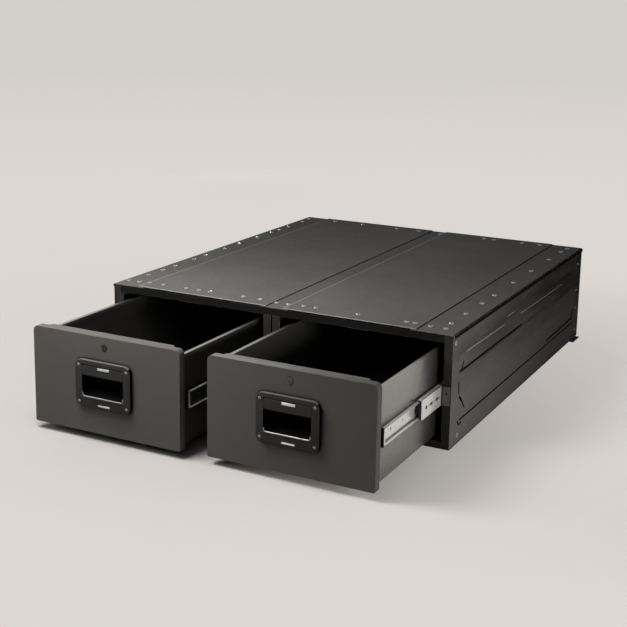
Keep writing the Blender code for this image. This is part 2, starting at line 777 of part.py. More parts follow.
def build_cage(name, path, start, ball_u, ball_v, support_x, inward, carrier):
    """A thin channel that spaces its balls along both races."""
    section = slide_section(path, CAGE_SHEET, support_x, inward)
    mesh = prism_mesh(name, [section], "Y", start, start + CAGE_LENGTH)
    cage = link_solid(name, mesh, "dark_steel")
    balls = bmesh.new()
    pitch = CAGE_LENGTH / BALLS_PER_ROW
    for row in (-1, 1):
        for index in range(BALLS_PER_ROW):
            place = Matrix.Translation((support_x + inward * ball_u,
                                        start + pitch * (index + 1 / 2),
                                        slide_z + row * ball_v))
            bmesh.ops.create_uvsphere(balls, u_segments=BALL_SEGMENTS, v_segments=BALL_RINGS,
                                      radius=BALL_DIAMETER / 2, matrix=place)
    ball_mesh = bpy.data.meshes.new("balls")
    balls.to_mesh(ball_mesh)
    balls.free()
    combine(cage, ball_mesh, "UNION", carrier)
    carry(cage, carrier)


def build_slide(label, support_x, inward, carriers):
    """One telescopic slide: three members with a cage of balls between each pair."""
    tongue_y = front_y - SEAM - EAR_SHEET / 2
    member = build_member(
        "cabinet_member_" + label,
        channel_path(cabinet_web_u, cabinet_web_u + CABINET_MEMBER_FLANGE, cabinet_flange_v,
                     OUTER_BALL_REACH, RACE_DEPTH),
        tongued_body(tongue_y, CABINET_MEMBER_LENGTH, CABINET_MEMBER_HEIGHT + OVERRUN),
        holes_along(tongue_y, CABINET_MEMBER_LENGTH, CABINET_HOLE_SHARES, ()),
        support_x, inward, None)
    build_ear(member, support_x, inward)
    start = front_y + INTERMEDIATE_FRONT
    build_member(
        "intermediate_member_" + label,
        channel_path(intermediate_web_u, intermediate_web_u + INTERMEDIATE_FLANGE,
                     intermediate_v, OUTER_BALL_REACH, -RACE_DEPTH),
        nosed_body(start, INTERMEDIATE_LENGTH, intermediate_v * 2 + OVERRUN),
        holes_along(start, INTERMEDIATE_LENGTH, INTERMEDIATE_HOLE_SHARES,
                    INTERMEDIATE_SLOT_SHARES),
        support_x, inward, carriers["intermediate"])
    start = front_y + DRAWER_MEMBER_FRONT
    build_member(
        "drawer_member_" + label,
        channel_path(drawer_web_u, drawer_web_u - DRAWER_MEMBER_FLANGE, drawer_member_v,
                     INNER_BALL_REACH, -RACE_DEPTH),
        plain_body(start, DRAWER_MEMBER_LENGTH, drawer_member_v * 2 + OVERRUN),
        holes_along(start, DRAWER_MEMBER_LENGTH, DRAWER_HOLE_SHARES, ()),
        support_x, inward, carriers["drawer"])
    outer_v = outer_ball_v + CAGE_SHEET / 2
    build_cage(
        "outer_ball_cage_" + label,
        channel_path(outer_cage_web_u, outer_cage_web_u + OUTER_CAGE_FLANGE, outer_v),
        front_y + OUTER_CAGE_FRONT, OUTER_BALL_REACH, outer_ball_v, support_x, inward,
        carriers["outer_cage"])
    inner_v = inner_ball_v + CAGE_SHEET / 2
    build_cage(
        "inner_ball_cage_" + label,
        channel_path(inner_cage_web_u, inner_cage_web_u + INNER_CAGE_FLANGE, inner_v),
        front_y + INNER_CAGE_FRONT, INNER_BALL_REACH, inner_ball_v, support_x, inward,
        carriers["inner_cage"])


# Drawers

def build_drawer_front(label, middle_x, carrier):
    """Shallow pan with rounded top corners, cut for the latch, with a deep top flange."""
    name = "drawer_front_" + label
    low_x = middle_x - front_width / 2
    high_x = middle_x + front_width / 2
    outline = rounded_rectangle(low_x, high_x, front_bottom_z, front_top_z,
                                FRONT_BOTTOM_RADIUS, FRONT_TOP_RADIUS, 4)
    pan_back_y = front_y + FRONT_PAN_DEPTH
    front = link_solid(name, prism_mesh(name, [outline], "Y", front_y, pan_back_y),
                       "dark_powder_coat")
    hollow = rounded_rectangle(
        low_x + DRAWER_SHEET, high_x - DRAWER_SHEET, front_bottom_z + DRAWER_SHEET,
        front_top_z - DRAWER_SHEET, FRONT_BOTTOM_RADIUS - DRAWER_SHEET,
        FRONT_TOP_RADIUS - DRAWER_SHEET, 4)
    combine(front, prism_mesh(name, [hollow], "Y", front_y + DRAWER_SHEET,
                              pan_back_y + OVERRUN), "DIFFERENCE", carrier)
    half_hole = WINDOW_WIDTH / 2 + POCKET_WALL + POCKET_CLEARANCE
    cut_out = rectangle(
        middle_x - half_hole, middle_x + half_hole,
        window_bottom_z - POCKET_WALL - POCKET_CLEARANCE,
        window_top_z + POCKET_WALL + POCKET_CLEARANCE)
    combine(front, prism_mesh(name, [cut_out], "Y", front_y - OVERRUN,
                              front_y + DRAWER_SHEET + OVERRUN), "DIFFERENCE", carrier)
    lock_hole = circle((middle_x, lock_z), LOCK_RADIUS + POCKET_CLEARANCE, ROUND_SEGMENTS)
    combine(front, prism_mesh(name, [lock_hole], "Y", front_y - OVERRUN,
                              front_y + DRAWER_SHEET + OVERRUN), "DIFFERENCE", carrier)
    flange_y = front_y + TOP_FLANGE_DEPTH
    flange_low_x = low_x + TOP_FLANGE_INSET
    flange_high_x = high_x - TOP_FLANGE_INSET
    flange = [
        (flange_low_x, pan_back_y - DRAWER_SHEET), (flange_high_x, pan_back_y - DRAWER_SHEET),
        (flange_high_x, flange_y - TOP_FLANGE_CHAMFER),
        (flange_high_x - TOP_FLANGE_CHAMFER, flange_y),
        (flange_low_x + TOP_FLANGE_CHAMFER, flange_y),
        (flange_low_x, flange_y - TOP_FLANGE_CHAMFER),
    ]
    combine(front, prism_mesh(name, [flange], "Z", front_top_z - DRAWER_SHEET, front_top_z),
            "UNION", carrier)
    carry(front, carrier)


def build_tray(label, middle_x, carrier):
    """Floor and side walls folded from one sheet, with the walls' rims turned inwards."""
    name = "drawer_tray_" + label
    half = tray_width / 2
    right = [(half - TRAY_RIM, tray_top_z - TRAY_RIM_DROP), (half - TRAY_RIM, tray_top_z),
             (half, tray_top_z), (half, tray_bottom_z)]
    left = [(-x, z) for x, z in right[::-1]]
    outline = folded_sheet((right + left)[::-1], DRAWER_SHEET)
    outline = [(middle_x + x, z) for x, z in outline]
    start = front_y + DRAWER_SHEET + SEAM
    tray = link_solid(name, prism_mesh(name, [outline], "Y", start, tray_back_y),
                      "dark_powder_coat")
    carry(tray, carrier)


def build_drawer_back(label, middle_x, carrier):
    """Back wall of the tray, folded forward at its top and foot."""
    name = "drawer_back_" + label
    half = tray_width / 2 - DRAWER_SHEET - SEAM
    top_z = tray_top_z - TRAY_RIM_DROP - DRAWER_SHEET - SEAM
    foot_z = tray_bottom_z + DRAWER_SHEET + SEAM
    path = [(tray_back_y - TRAY_BACK_FOOT, foot_z), (tray_back_y, foot_z),
            (tray_back_y, top_z), (tray_back_y - TRAY_BACK_FOOT, top_z)]
    outline = folded_sheet(path, DRAWER_SHEET)
    mesh = prism_mesh(name, [outline], "X", middle_x - half, middle_x + half)
    carry(link_solid(name, mesh, "dark_powder_coat"), carrier)


# Latch

def build_latch_frame(label, middle_x, carrier):
    """Proud frame with a hand pocket behind its window."""
    name = "latch_frame_" + label
    outline = rounded_rectangle(
        middle_x - LATCH_WIDTH / 2, middle_x + LATCH_WIDTH / 2, latch_z - LATCH_HEIGHT / 2,
        latch_z + LATCH_HEIGHT / 2, LATCH_RADIUS, LATCH_RADIUS, 4)
    mesh = prism_mesh(name, [outline], "Y", latch_face_y, front_y - SEAM)
    bevel_front_edges(mesh, latch_face_y, LATCH_EDGE)
    frame = link_solid(name, mesh, "latch_coat")
    half = WINDOW_WIDTH / 2
    pocket = box_mesh(
        (middle_x - half - POCKET_WALL, latch_face_y + LATCH_PROUD / 2,
         window_bottom_z - POCKET_WALL),
        (middle_x + half + POCKET_WALL, dish_back_y, window_top_z + POCKET_WALL))
    combine(frame, pocket, "UNION", carrier)
    lip = rod_mesh(LIP_RADIUS, middle_x - half - POCKET_WALL, middle_x + half + POCKET_WALL,
                   latch_face_y + LIP_RADIUS / 2, window_bottom_z - LIP_RADIUS, HOLE_SEGMENTS)
    combine(frame, lip, "UNION", carrier)
    hollow = [
        (latch_face_y - LIP_RADIUS - OVERRUN, window_bottom_z),
        (latch_face_y + LIP_RADIUS, window_bottom_z),
        (pocket_back_y, window_bottom_z + POCKET_RISE),
        (pocket_back_y, window_top_z),
        (latch_face_y - LIP_RADIUS - OVERRUN, window_top_z),
    ]
    combine(frame, prism_mesh(name, [hollow], "X", middle_x - half, middle_x + half),
            "DIFFERENCE", carrier)
    socket = half + PIN_SOCKET + SEAM
    bore = rod_mesh(PIN_RADIUS + SEAM, middle_x - socket, middle_x + socket, pivot_y, pivot_z,
                    HOLE_SEGMENTS)
    combine(frame, bore, "DIFFERENCE", carrier)
    arm_x = middle_x - BOLT_OFFSET
    slot_half = ARM_WIDTH / 2 + ARM_SLOT_GAP
    drop = (dish_back_y - pivot_y) * math.sin(PADDLE_SWING)
    arm_slot = box_mesh(
        (arm_x - slot_half, pocket_back_y - OVERRUN,
         pivot_z - ARM_THICKNESS / 2 - drop - ARM_SLOT_GAP),
        (arm_x + slot_half, dish_back_y + OVERRUN, pivot_z + ARM_THICKNESS / 2 + SEAM * 2))
    combine(frame, arm_slot, "DIFFERENCE", carrier)
    carry(frame, carrier)


def bevel_front_edges(mesh, face_y, width):
    """Chamfer the edges that bound the face lying at face_y."""
    shape = bmesh.new()
    shape.from_mesh(mesh)
    rim = []
    for edge in shape.edges:
        on_face = all(abs(vertex.co.y - face_y) < WELD_DISTANCE for vertex in edge.verts)
        if on_face and edge.calc_face_angle(0) > math.radians(45):
            rim.append(edge)
    bmesh.ops.bevel(shape, geom=rim, offset=width, segments=2, affect="EDGES", profile=0.5,
                    material=-1)
    bmesh.ops.remove_doubles(shape, verts=shape.verts, dist=WELD_DISTANCE)
    shape.to_mesh(mesh)
    shape.free()


def build_paddle(label, middle_x, carrier):
    """Pull plate rolled round its pin, with an arm that reaches back to the bolt."""
    name = "latch_paddle_" + label
    half = WINDOW_WIDTH / 2 - PADDLE_END_GAP
    foot_z = pivot_z + BARREL_RADIUS - PADDLE_HEIGHT
    path = [(latch_face_y, pivot_z), (latch_face_y, foot_z),
            (latch_face_y + PADDLE_LIP_DEPTH, foot_z - PADDLE_LIP_DROP)]
    outline = folded_sheet(path, PADDLE_SHEET)
    mesh = prism_mesh(name, [outline], "X", middle_x - half, middle_x + half)
    paddle = link_solid(name, mesh, "latch_coat")
    barrel = rod_mesh(BARREL_RADIUS, middle_x - half, middle_x + half, pivot_y, pivot_z,
                      ROUND_SEGMENTS)
    combine(paddle, barrel, "UNION", carrier)
    arm_x = middle_x - BOLT_OFFSET
    arm = box_mesh((arm_x - ARM_WIDTH / 2, pivot_y, pivot_z - ARM_THICKNESS / 2),
                   (arm_x + ARM_WIDTH / 2, arm_end_y, pivot_z + ARM_THICKNESS / 2))
    combine(paddle, arm, "UNION", carrier)
    bore = rod_mesh(PIN_RADIUS + SEAM, middle_x - half - OVERRUN, middle_x + half + OVERRUN,
                    pivot_y, pivot_z, HOLE_SEGMENTS)
    combine(paddle, bore, "DIFFERENCE", carrier)
    carry(paddle, carrier, (middle_x, pivot_y, pivot_z))


def build_pin(label, middle_x, carrier):
    """Pin that the paddle swings on, socketed in the frame at both ends."""
    reach = WINDOW_WIDTH / 2 + PIN_SOCKET
    mesh = rod_mesh(PIN_RADIUS, middle_x - reach, middle_x + reach, pivot_y, pivot_z,
                    HOLE_SEGMENTS)
    carry(link_solid("latch_pin_" + label, mesh, "bright_zinc"), carrier)


def bolt_foot_z():
    """Underside of the bolt, where its spring pushes."""
    return pivot_z - BOLT_FOOT


def build_bolt(label, middle_x, carrier):
    """Upright bolt with a slanted tip and a window that the paddle's arm works in."""
    name = "latch_bolt_" + label
    bolt_x = middle_x - BOLT_OFFSET
    outline = [(bolt_y, bolt_foot_z()), (bolt_back_y, bolt_foot_z()),
               (bolt_back_y, bolt_tip_z - BOLT_BEVEL_DROP),
               (bolt_y + BOLT_THICKNESS / 4, bolt_tip_z), (bolt_y, bolt_tip_z)]
    mesh = prism_mesh(name, [outline], "X", bolt_x - BOLT_WIDTH / 2, bolt_x + BOLT_WIDTH / 2)
    bolt = link_solid(name, mesh, "bright_zinc")
    half_width_x = ARM_WIDTH / 2 + ARM_SLOT_GAP / 2
    half_height = ARM_THICKNESS / 2 + BOLT_WINDOW_PLAY
    window = box_mesh((bolt_x - half_width_x, bolt_y - OVERRUN, pivot_z - half_height),
                      (bolt_x + half_width_x, bolt_back_y + OVERRUN, pivot_z + half_height))
    combine(bolt, window, "DIFFERENCE", carrier)
    carry(bolt, carrier)


def build_case(label, middle_x, carrier):
    """Channel behind the frame that guides the bolt and seats its spring."""
    name = "latch_case_" + label
    bolt_x = middle_x - BOLT_OFFSET
    inner = BOLT_WIDTH / 2 + CASE_SIDE_GAP
    outer = inner + CASE_SHEET
    near_y = dish_back_y + SEAM
    far_y = near_y + CASE_DEPTH
    outline = case_outline(inner, outer, near_y, far_y)
    outline = [(bolt_x + x, y) for x, y in outline]
    low_z = bolt_foot_z() - SPRING_LENGTH - 2 * SEAM - CASE_SHEET
    high_z = tray_top_z
    case = link_solid(name, prism_mesh(name, [outline], "Z", low_z, high_z), "dark_steel")
    seat = box_mesh((bolt_x - outer + CASE_SHEET / 2, near_y, low_z),
                    (bolt_x + outer - CASE_SHEET / 2, far_y + CASE_SHEET / 2,
                     low_z + CASE_SHEET))
    combine(case, seat, "UNION", carrier)
    guide = box_mesh((bolt_x - outer + CASE_SHEET / 2, near_y, high_z - CASE_SHEET),
                     (bolt_x + outer - CASE_SHEET / 2, far_y + CASE_SHEET / 2, high_z))
    combine(case, guide, "UNION", carrier)
    mouth = box_mesh((bolt_x - BOLT_WIDTH / 2 - SEAM, bolt_y - SEAM,
                      high_z - CASE_SHEET - OVERRUN),
                     (bolt_x + BOLT_WIDTH / 2 + SEAM, bolt_back_y + SEAM, high_z + OVERRUN))
    combine(case, mouth, "DIFFERENCE", carrier)
    carry(case, carrier)


def case_outline(inner, outer, near_y, far_y):
    """Plan of the case: a hat section, its two flanges against the pocket's back."""
    brim = outer + CASE_FLANGE
    right = [(brim, near_y), (brim, near_y + CASE_SHEET), (outer, near_y + CASE_SHEET),
             (outer, far_y + CASE_SHEET)]
    left = [(-x, y) for x, y in right[::-1]]
    hollow = [(-inner, near_y), (-inner, far_y), (inner, far_y), (inner, near_y)]
    return right + left + hollow


def build_spring(label, middle_x, carrier):
    """Coil spring that lifts the bolt."""
    name = "latch_spring_" + label
    curve = bpy.data.curves.new(name, "CURVE")
    curve.dimensions = "3D"
    curve.bevel_depth = SPRING_WIRE
    curve.bevel_resolution = 1
    curve.use_fill_caps = True
    steps = SPRING_TURNS * SPRING_POINTS_PER_TURN
    spline = curve.splines.new("POLY")
    spline.points.add(steps)
    rise = SPRING_LENGTH - 2 * SPRING_WIRE
    low_z = bolt_foot_z() - SEAM - SPRING_LENGTH + SPRING_WIRE
    for step, point in enumerate(spline.points):
        turn = 2 * math.pi * step / SPRING_POINTS_PER_TURN
        x = middle_x - BOLT_OFFSET + SPRING_RADIUS * math.cos(turn)
        y = bolt_y + BOLT_THICKNESS / 2 + SPRING_RADIUS * math.sin(turn)
        point.co = (x, y, low_z + rise * step / steps, 1)
    mesh = welded_mesh(bpy.data.objects.new(name, curve))
    carry(link_solid(name, mesh, "dark_steel"), carrier)


def build_lock(label, middle_x, carrier):
    """Turned lock plug with a key slot and a flat cam on its tail, lying to the right."""
    name = "cam_lock_" + label
    face = -LOCK_BEZEL_PROUD
    cam_y = bolt_y - front_y
    tail = cam_y + CAM_SHEET
    profile = [(0, face), (LOCK_BEZEL, face), (LOCK_BEZEL, -SEAM), (LOCK_RADIUS, -SEAM),
               (LOCK_RADIUS, LOCK_BODY_LENGTH), (LOCK_HUB_RADIUS, LOCK_BODY_LENGTH),
               (LOCK_HUB_RADIUS, tail), (0, tail)]
    shape = bmesh.new()
    rings = [shape.verts.new((radius, 0, -along)) for radius, along in profile]
    for first, second in zip(rings, rings[1:]):
        shape.edges.new((first, second))
    mesh = bpy.data.meshes.new(name)
    shape.to_mesh(mesh)
    shape.free()
    lock = link_solid(name, mesh, "dark_steel")
    turned = lock.modifiers.new("turned", "SCREW")
    turned.steps = ROUND_SEGMENTS
    turned.render_steps = ROUND_SEGMENTS
    turned.use_merge_vertices = True
    turned.merge_threshold = WELD_DISTANCE
    lock.rotation_euler = (math.radians(90), 0, 0)
    lock.location = (middle_x, front_y, lock_z)
    lock.parent = carrier
    reach = CAM_REACH - LOCK_HUB_RADIUS
    cam = arc((middle_x, lock_z), LOCK_HUB_RADIUS, 90, 270, 6)
    cam += arc((middle_x + reach, lock_z), LOCK_HUB_RADIUS, -90, 90, 6)
    combine(lock, prism_mesh(name, [cam], "Y", front_y + cam_y, front_y + tail), "UNION", carrier)
    key_slot = box_mesh(
        (middle_x - KEY_SLOT_WIDTH / 2, front_y + face - OVERRUN, lock_z - KEY_SLOT_LENGTH / 2),
        (middle_x + KEY_SLOT_WIDTH / 2, front_y + face + KEY_SLOT_DEPTH,
         lock_z + KEY_SLOT_LENGTH / 2))
    combine(lock, key_slot, "DIFFERENCE", carrier)


def build_striker(label, middle_x):
    """Angle on the front rail whose lip the bolt and the cam catch behind."""
    name = "striker_" + label
    lip_y = bolt_y - STRIKER_BOLT_GAP
    top_z = rail_bottom_z + CABINET_SHEET + SEAM + STRIKER_SHEET
    lip_z = bolt_tip_z - STRIKER_OVERLAP
    path = [(front_y + STRIKER_SET_BACK, top_z - STRIKER_SHEET),
            (lip_y - STRIKER_SHEET, top_z - STRIKER_SHEET), (lip_y - STRIKER_SHEET, lip_z)]
    outline = folded_sheet(path, STRIKER_SHEET)
    low_x = middle_x - BOLT_OFFSET - BOLT_WIDTH / 2 - STRIKER_MARGIN
    high_x = middle_x + LOCK_HUB_RADIUS + STRIKER_MARGIN
    link_solid(name, prism_mesh(name, [outline], "X", low_x, high_x), "bright_zinc")


# Assembly

def build_cabinet():
    """Everything that stays still."""
    build_base_pan()
    build_side_panel("side_panel_left", -1)
    build_side_panel("side_panel_right", 1)
    build_back_panel()
    build_centre_upright("centre_upright_left", -1)
    build_centre_upright("centre_upright_right", 1)
    build_front_rail()
    build_top_strips()
    build_deck_panels()
    build_hold_down("hold_down_left", -1)
    build_hold_down("hold_down_right", 1)


def build_bay(label, side, out):
    """One bay: its slide supports and slides, and the drawer that they carry."""
    middle_x = side * bay_middle_x
    carriers = {
        "drawer": add_carrier("drawer_carrier_" + label, out),
        "intermediate": add_carrier("intermediate_carrier_" + label, out / 2),
        "outer_cage": add_carrier("outer_cage_carrier_" + label, out / 4),
        "inner_cage": add_carrier("inner_cage_carrier_" + label, out * 3 / 4),
    }
    walls = {
        "outer": (side * post_x, -side, side * (skin_x - CABINET_SHEET)),
        "inner": (side * upright_edge_x, side, side * (upright_x + CABINET_SHEET)),
    }
    for place, (support_x, inward, wall_x) in walls.items():
        build_slide_support("slide_support_" + label + "_" + place, support_x, inward, wall_x)
        build_slide(label + "_" + place, support_x, inward, carriers)
    drawer = carriers["drawer"]
    build_drawer_front(label, middle_x, drawer)
    build_tray(label, middle_x, drawer)
    build_drawer_back(label, middle_x, drawer)
    build_latch_frame(label, middle_x, drawer)
    build_paddle(label, middle_x, drawer)
    build_pin(label, middle_x, drawer)
    build_bolt(label, middle_x, drawer)
    build_case(label, middle_x, drawer)
    build_spring(label, middle_x, drawer)
    build_lock(label, middle_x, drawer)
    build_striker(label, middle_x)


def main():
    """Build the whole model."""
    clear_scene()
    make_finishes()
    build_cabinet()
    build_bay("left", -1, LEFT_DRAWER_OUT)
    build_bay("right", 1, RIGHT_DRAWER_OUT)


main()
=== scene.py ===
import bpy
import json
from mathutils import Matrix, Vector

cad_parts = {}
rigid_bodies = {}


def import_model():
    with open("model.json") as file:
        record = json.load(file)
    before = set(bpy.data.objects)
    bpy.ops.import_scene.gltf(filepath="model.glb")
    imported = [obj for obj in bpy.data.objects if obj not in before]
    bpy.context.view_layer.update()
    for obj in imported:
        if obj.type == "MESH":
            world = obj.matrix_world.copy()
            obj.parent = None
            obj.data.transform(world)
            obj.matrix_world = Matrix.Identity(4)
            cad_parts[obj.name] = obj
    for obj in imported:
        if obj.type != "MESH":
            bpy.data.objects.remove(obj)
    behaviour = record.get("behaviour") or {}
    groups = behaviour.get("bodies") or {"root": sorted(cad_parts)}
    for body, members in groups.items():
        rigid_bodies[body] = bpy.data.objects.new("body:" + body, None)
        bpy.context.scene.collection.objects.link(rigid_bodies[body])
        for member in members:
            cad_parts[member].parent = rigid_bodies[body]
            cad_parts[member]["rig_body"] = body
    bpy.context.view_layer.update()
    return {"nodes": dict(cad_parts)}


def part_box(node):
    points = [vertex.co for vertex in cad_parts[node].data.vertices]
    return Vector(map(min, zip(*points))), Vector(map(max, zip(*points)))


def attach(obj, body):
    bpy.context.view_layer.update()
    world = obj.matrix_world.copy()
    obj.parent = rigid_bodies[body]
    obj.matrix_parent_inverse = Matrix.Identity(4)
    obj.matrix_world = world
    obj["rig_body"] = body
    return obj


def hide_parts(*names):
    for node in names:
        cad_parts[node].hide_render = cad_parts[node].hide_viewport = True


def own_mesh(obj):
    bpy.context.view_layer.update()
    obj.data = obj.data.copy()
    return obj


bl_info = {
    "name": "Double drawer system",
    "version": (1, 0, 0),
    "blender": (4, 5, 0),
    "location": "3D View > Sidebar > Drawers",
    "description": "Finishes a steel cabinet with two drawers: coats, screws, latches, slides",
    "category": "Object",
}

import json
import math

import bmesh
import bpy
from bpy.props import FloatProperty, FloatVectorProperty, IntProperty, PointerProperty
from mathutils import Matrix, Vector

for leftover in list(bpy.data.objects):
    bpy.data.objects.remove(leftover)
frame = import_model()

SIDES = ("left", "right")
PLACES = ("outer", "inner")
SAME = 0.0001    # places that lie closer than this count as one
WELD = 0.00001   # corners that lie closer than this are merged
FACING = 0.5     # a face looks along an axis when its normal does by more than this
SQUARE_TO = 0.8  # and it stands square to the axis above this


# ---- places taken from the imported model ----

def low(node):
    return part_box(node)[0]


def high(node):
    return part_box(node)[1]


def middle(node):
    return (low(node) + high(node)) / 2


def outward_of(node, side):
    """1 for a slide member that stands right of its drawer, and -1 for one on the left."""
    return math.copysign(1, middle(node).x - middle("drawer_tray_" + side).x)


PANEL_SHEET = 0.002    # thickness of a side panel
PRESS_PROUD = 0.003    # how far the pressings of a side panel stand out of its flat face
FRONT_DEPTH = 0.033    # from the back of a drawer front to its face
LATCH_PROUD = 0.010    # from there to the flat face of the latch frame
TRAY_RIM = 0.003       # height of the bright rim along a tray's top
STRIP_TOP = high("top_strip_left").z
CABINET_FRONT = low("side_panel_left").y
CABINET_BACK = high("side_panel_left").y
CABINET_LEFT = low("side_panel_left").x
CABINET_RIGHT = high("side_panel_right").x
SKIN = high("cabinet_member_right_outer").x + PANEL_SHEET
SKIN_LIMIT = SKIN - 0.0003    # what stands further out belongs to a panel's outer face


# ---- sizes and colours a user may change ----

def colour(name, text, value):
    return FloatVectorProperty(
        name=name, description=text, subtype="COLOR", size=3, min=0.0, max=1.0, default=value)


def size(name, text, value):
    return FloatProperty(
        name=name, description=text, subtype="DISTANCE", unit="LENGTH", min=0.0, default=value)


def share(name, text, value):
    return FloatProperty(
        name=name, description=text, subtype="FACTOR", min=0.0, max=1.0, default=value)


def watts(name, text, value):
    return FloatProperty(
        name=name, description=text, subtype="POWER", unit="POWER", min=0.0, default=value)


class CoatSettings(bpy.types.PropertyGroup):
    cabinet: colour("Cabinet coat", "Powder coat on the carcass", (0.108, 0.104, 0.098))
    deck: colour("Deck coat", "Gritty coat on the two deck panels", (0.116, 0.111, 0.105))
    frame: colour("Frame coat", "Dark coat on the uprights and posts", (0.021, 0.0197, 0.0185))
    # on the strips' outer shoulders this dark coat is painted shade
    rail: colour("Rail coat", "Darker coat on the rail and down the strips' outer edges",
                 (0.0088, 0.0083, 0.0078))
    # painted highlight: a light coat on the deck panels' left and front edges and on the side
    # panels' ridges
    rubbed: colour("Rubbed coat", "Thin coat along edges and ridges", (0.26, 0.25, 0.24))
    # painted shade: near black in and round the latches, on the latch frames' sides, on the deck
    # panels' right edges and in the side panels' creases
    pocket: colour("Pocket coat", "Black coat inside and round the latches",
                   (0.004, 0.004, 0.004))
    drawer: colour("Drawer coat", "Coat on the drawer fronts", (0.073, 0.069, 0.0645))
    tray: colour("Tray metal", "Dull plated steel of the drawer trays", (0.37, 0.363, 0.348))
    # dark inside the trays and drawer backs, and painted shade on the tray walls that face the
    # other drawer
    lining: colour("Tray lining", "Dark coat inside the trays", (0.050, 0.048, 0.045))
    latch: colour("Latch coat", "Coat on the latch frames and paddles", (0.026, 0.025, 0.024))
    zinc: colour("Bright zinc", "Plating on the slides", (0.90, 0.90, 0.87))
    # painted shade: a darker copy of the zinc for the slides between the drawers
    dull_zinc: colour("Dull zinc", "Plating on the slides between the drawers",
                      (0.13, 0.13, 0.125))
    dark_steel: colour("Dark steel", "Phosphated steel of cases and springs",
                       (0.10, 0.098, 0.094))
    screw: colour("Screw steel", "Button heads on the top and the sides", (0.20, 0.195, 0.185))
    plate: colour("Bare plate", "Bright bare plates on the latches", (0.72, 0.71, 0.68))
    sill: colour("Sill steel", "Rolled sill of the latch's window", (0.25, 0.245, 0.235))
    buffer: colour("Buffer plastic", "Buffers and cages of the slides", (0.020, 0.020, 0.020))
    bare: colour("Bare steel", "Steel where the coat has worn off", (0.45, 0.44, 0.42))
    dust: colour("Dust", "Dust lying on the upward faces", (0.36, 0.34, 0.31))
    grain: size("Grain of the coat", "Size of one grain of the powder coat", 0.0011)
    roughness: share("Coat roughness", "Roughness of the powder coat", 0.46)


class SheetSettings(bpy.types.PropertyGroup):
    edge: size("Sheet edge", "Radius on the cut edges of the sheets", 0.0005)
    bend: size("Front edge", "Radius round the drawer fronts", 0.0012)
    post: size("Post edge", "Radius on the pressed edges of the side panels", 0.0012)
    # width of the painted highlight strip on a deck panel's left and front edges
    painted_highlight_width: size("Painted highlight edge", "Width of the rubbed edge of a deck panel", 0.0032)
    # the creases carry near-black painted shade
    crease_width: size("Crease width", "Width of the dark creases of the side panels", 0.0054)
    crease_height: size("Crease height", "How far the dark creases stand out", 0.0016)
    # the ridges carry a painted highlight
    ridge_width: size("Ridge width", "Width of the rubbed ridges of the side panels", 0.0030)
    ridge_height: size("Ridge height", "How far the rubbed ridges stand out", 0.0010)
    corner: size("Corner", "Radius of the carcass's upright front corners", 0.0050)
    shoulder: size("Shoulder", "Radius along the outer edges of the top strips", 0.0064)


class ScrewSettings(bpy.types.PropertyGroup):
    radius: size("Head radius", "Radius of a button head", 0.0072)
    height: size("Head height", "Height of a button head", 0.0030)
    rivet: size("Rivet radius", "Radius of the small rivets along the back edges", 0.0040)
    socket: size("Socket radius", "Radius of the hexagon socket", 0.0021)
    depth: size("Socket depth", "Depth of the hexagon socket", 0.0011)
    front_row: size("Front row", "Distance of the front row from the front edge", 0.045)
    back_row: size("Back row", "Distance of the back row from the back edge", 0.040)
    left_row: size("Left row", "Distance of the left row from the left edge", 0.030)
    right_row: size("Right row", "Distance of the right row from the right edge", 0.045)


class LatchSettings(bpy.types.PropertyGroup):
    frame_edge: size("Frame edge", "Radius on the edges of the latch frame", 0.0009)
    paddle_edge: size("Paddle edge", "Radius on the edges of the paddle", 0.0006)
    part_edge: size("Part edge", "Radius on the edges of the latch's small parts", 0.0004)
    screw_radius: size("Latch screw radius", "Radius of the latch's four screws", 0.0038)
    screw_height: size("Latch screw height", "Height of the latch's screws", 0.0012)
    screw_across: size("Screws across", "Half the distance between the screws", 0.0700)
    screw_up: size("Screws up", "Half the height between the screws", 0.0460)
    window_rise: size("Window rise", "Height of the sill above the frame's foot", 0.0280)
    window_half: size("Window half", "Half the width of the window", 0.0610)
    sill_radius: size("Sill radius", "Radius of the window's bright rolled sill", 0.0017)
    sill_turn: size("Sill corner", "Radius of the sill's turned-up corners", 0.0060)
    sill_rise: size("Sill ends", "Length of the sill's turned-up ends", 0.0040)
    spring_wire: size("Spring wire", "Radius of the wire of the bolt's spring", 0.0006)
    spring_turns: IntProperty(
        name="Spring turns", description="Turns of the bolt's spring", default=6, min=2)
    bolt_drop: size("Bolt drop", "How far the bolt drops and shortens its spring", 0.01194)
    plate_width: size("Plate width", "Width of the bright bare plates", 0.034)
    plate_thickness: size("Plate thickness", "Thickness of the bright plates", 0.0008)
    plate_aside: size("Plate aside", "How far right of the middle the plates sit", 0.0035)
    upper_plate_height: size("Upper plate height", "Height of the upper plate", 0.0064)
    upper_plate_drop: size("Upper plate drop", "From the paddle's top to the plate", 0.0030)
    lower_plate_height: size("Lower plate height", "Height of the lower plate", 0.0044)
    lower_plate_rise: size("Lower plate rise", "From the frame's foot to the plate", 0.0075)


class SlideSettings(bpy.types.PropertyGroup):
    edge: size("Rolled edge", "Radius on the edges of the slide sections", 0.0004)
    hole_radius: size("Rivet radius", "Radius of the rivets in the members' holes", 0.0032)
    slot_stretch: size("Slot stretch", "Half of what a slot is longer than wide", 0.0056)
    plug_depth: size("Rivet thickness", "Thickness of the rivets", 0.0006)
    lip_depth: size("Lip depth", "Bright edge beside the dull web of an inner slide", 0.0015)
    buffer_proud: size("Buffer overlap", "How far a buffer stands past its member", 0.0022)
    buffer_length: size("Buffer length", "Length of the buffer at the drawer front", 0.0032)
    bumper_length: size("Bumper length", "How far a bumper stands before its member", 0.0085)
    bumper_half: size("Bumper half height", "Half the height of the bumper", 0.0150)


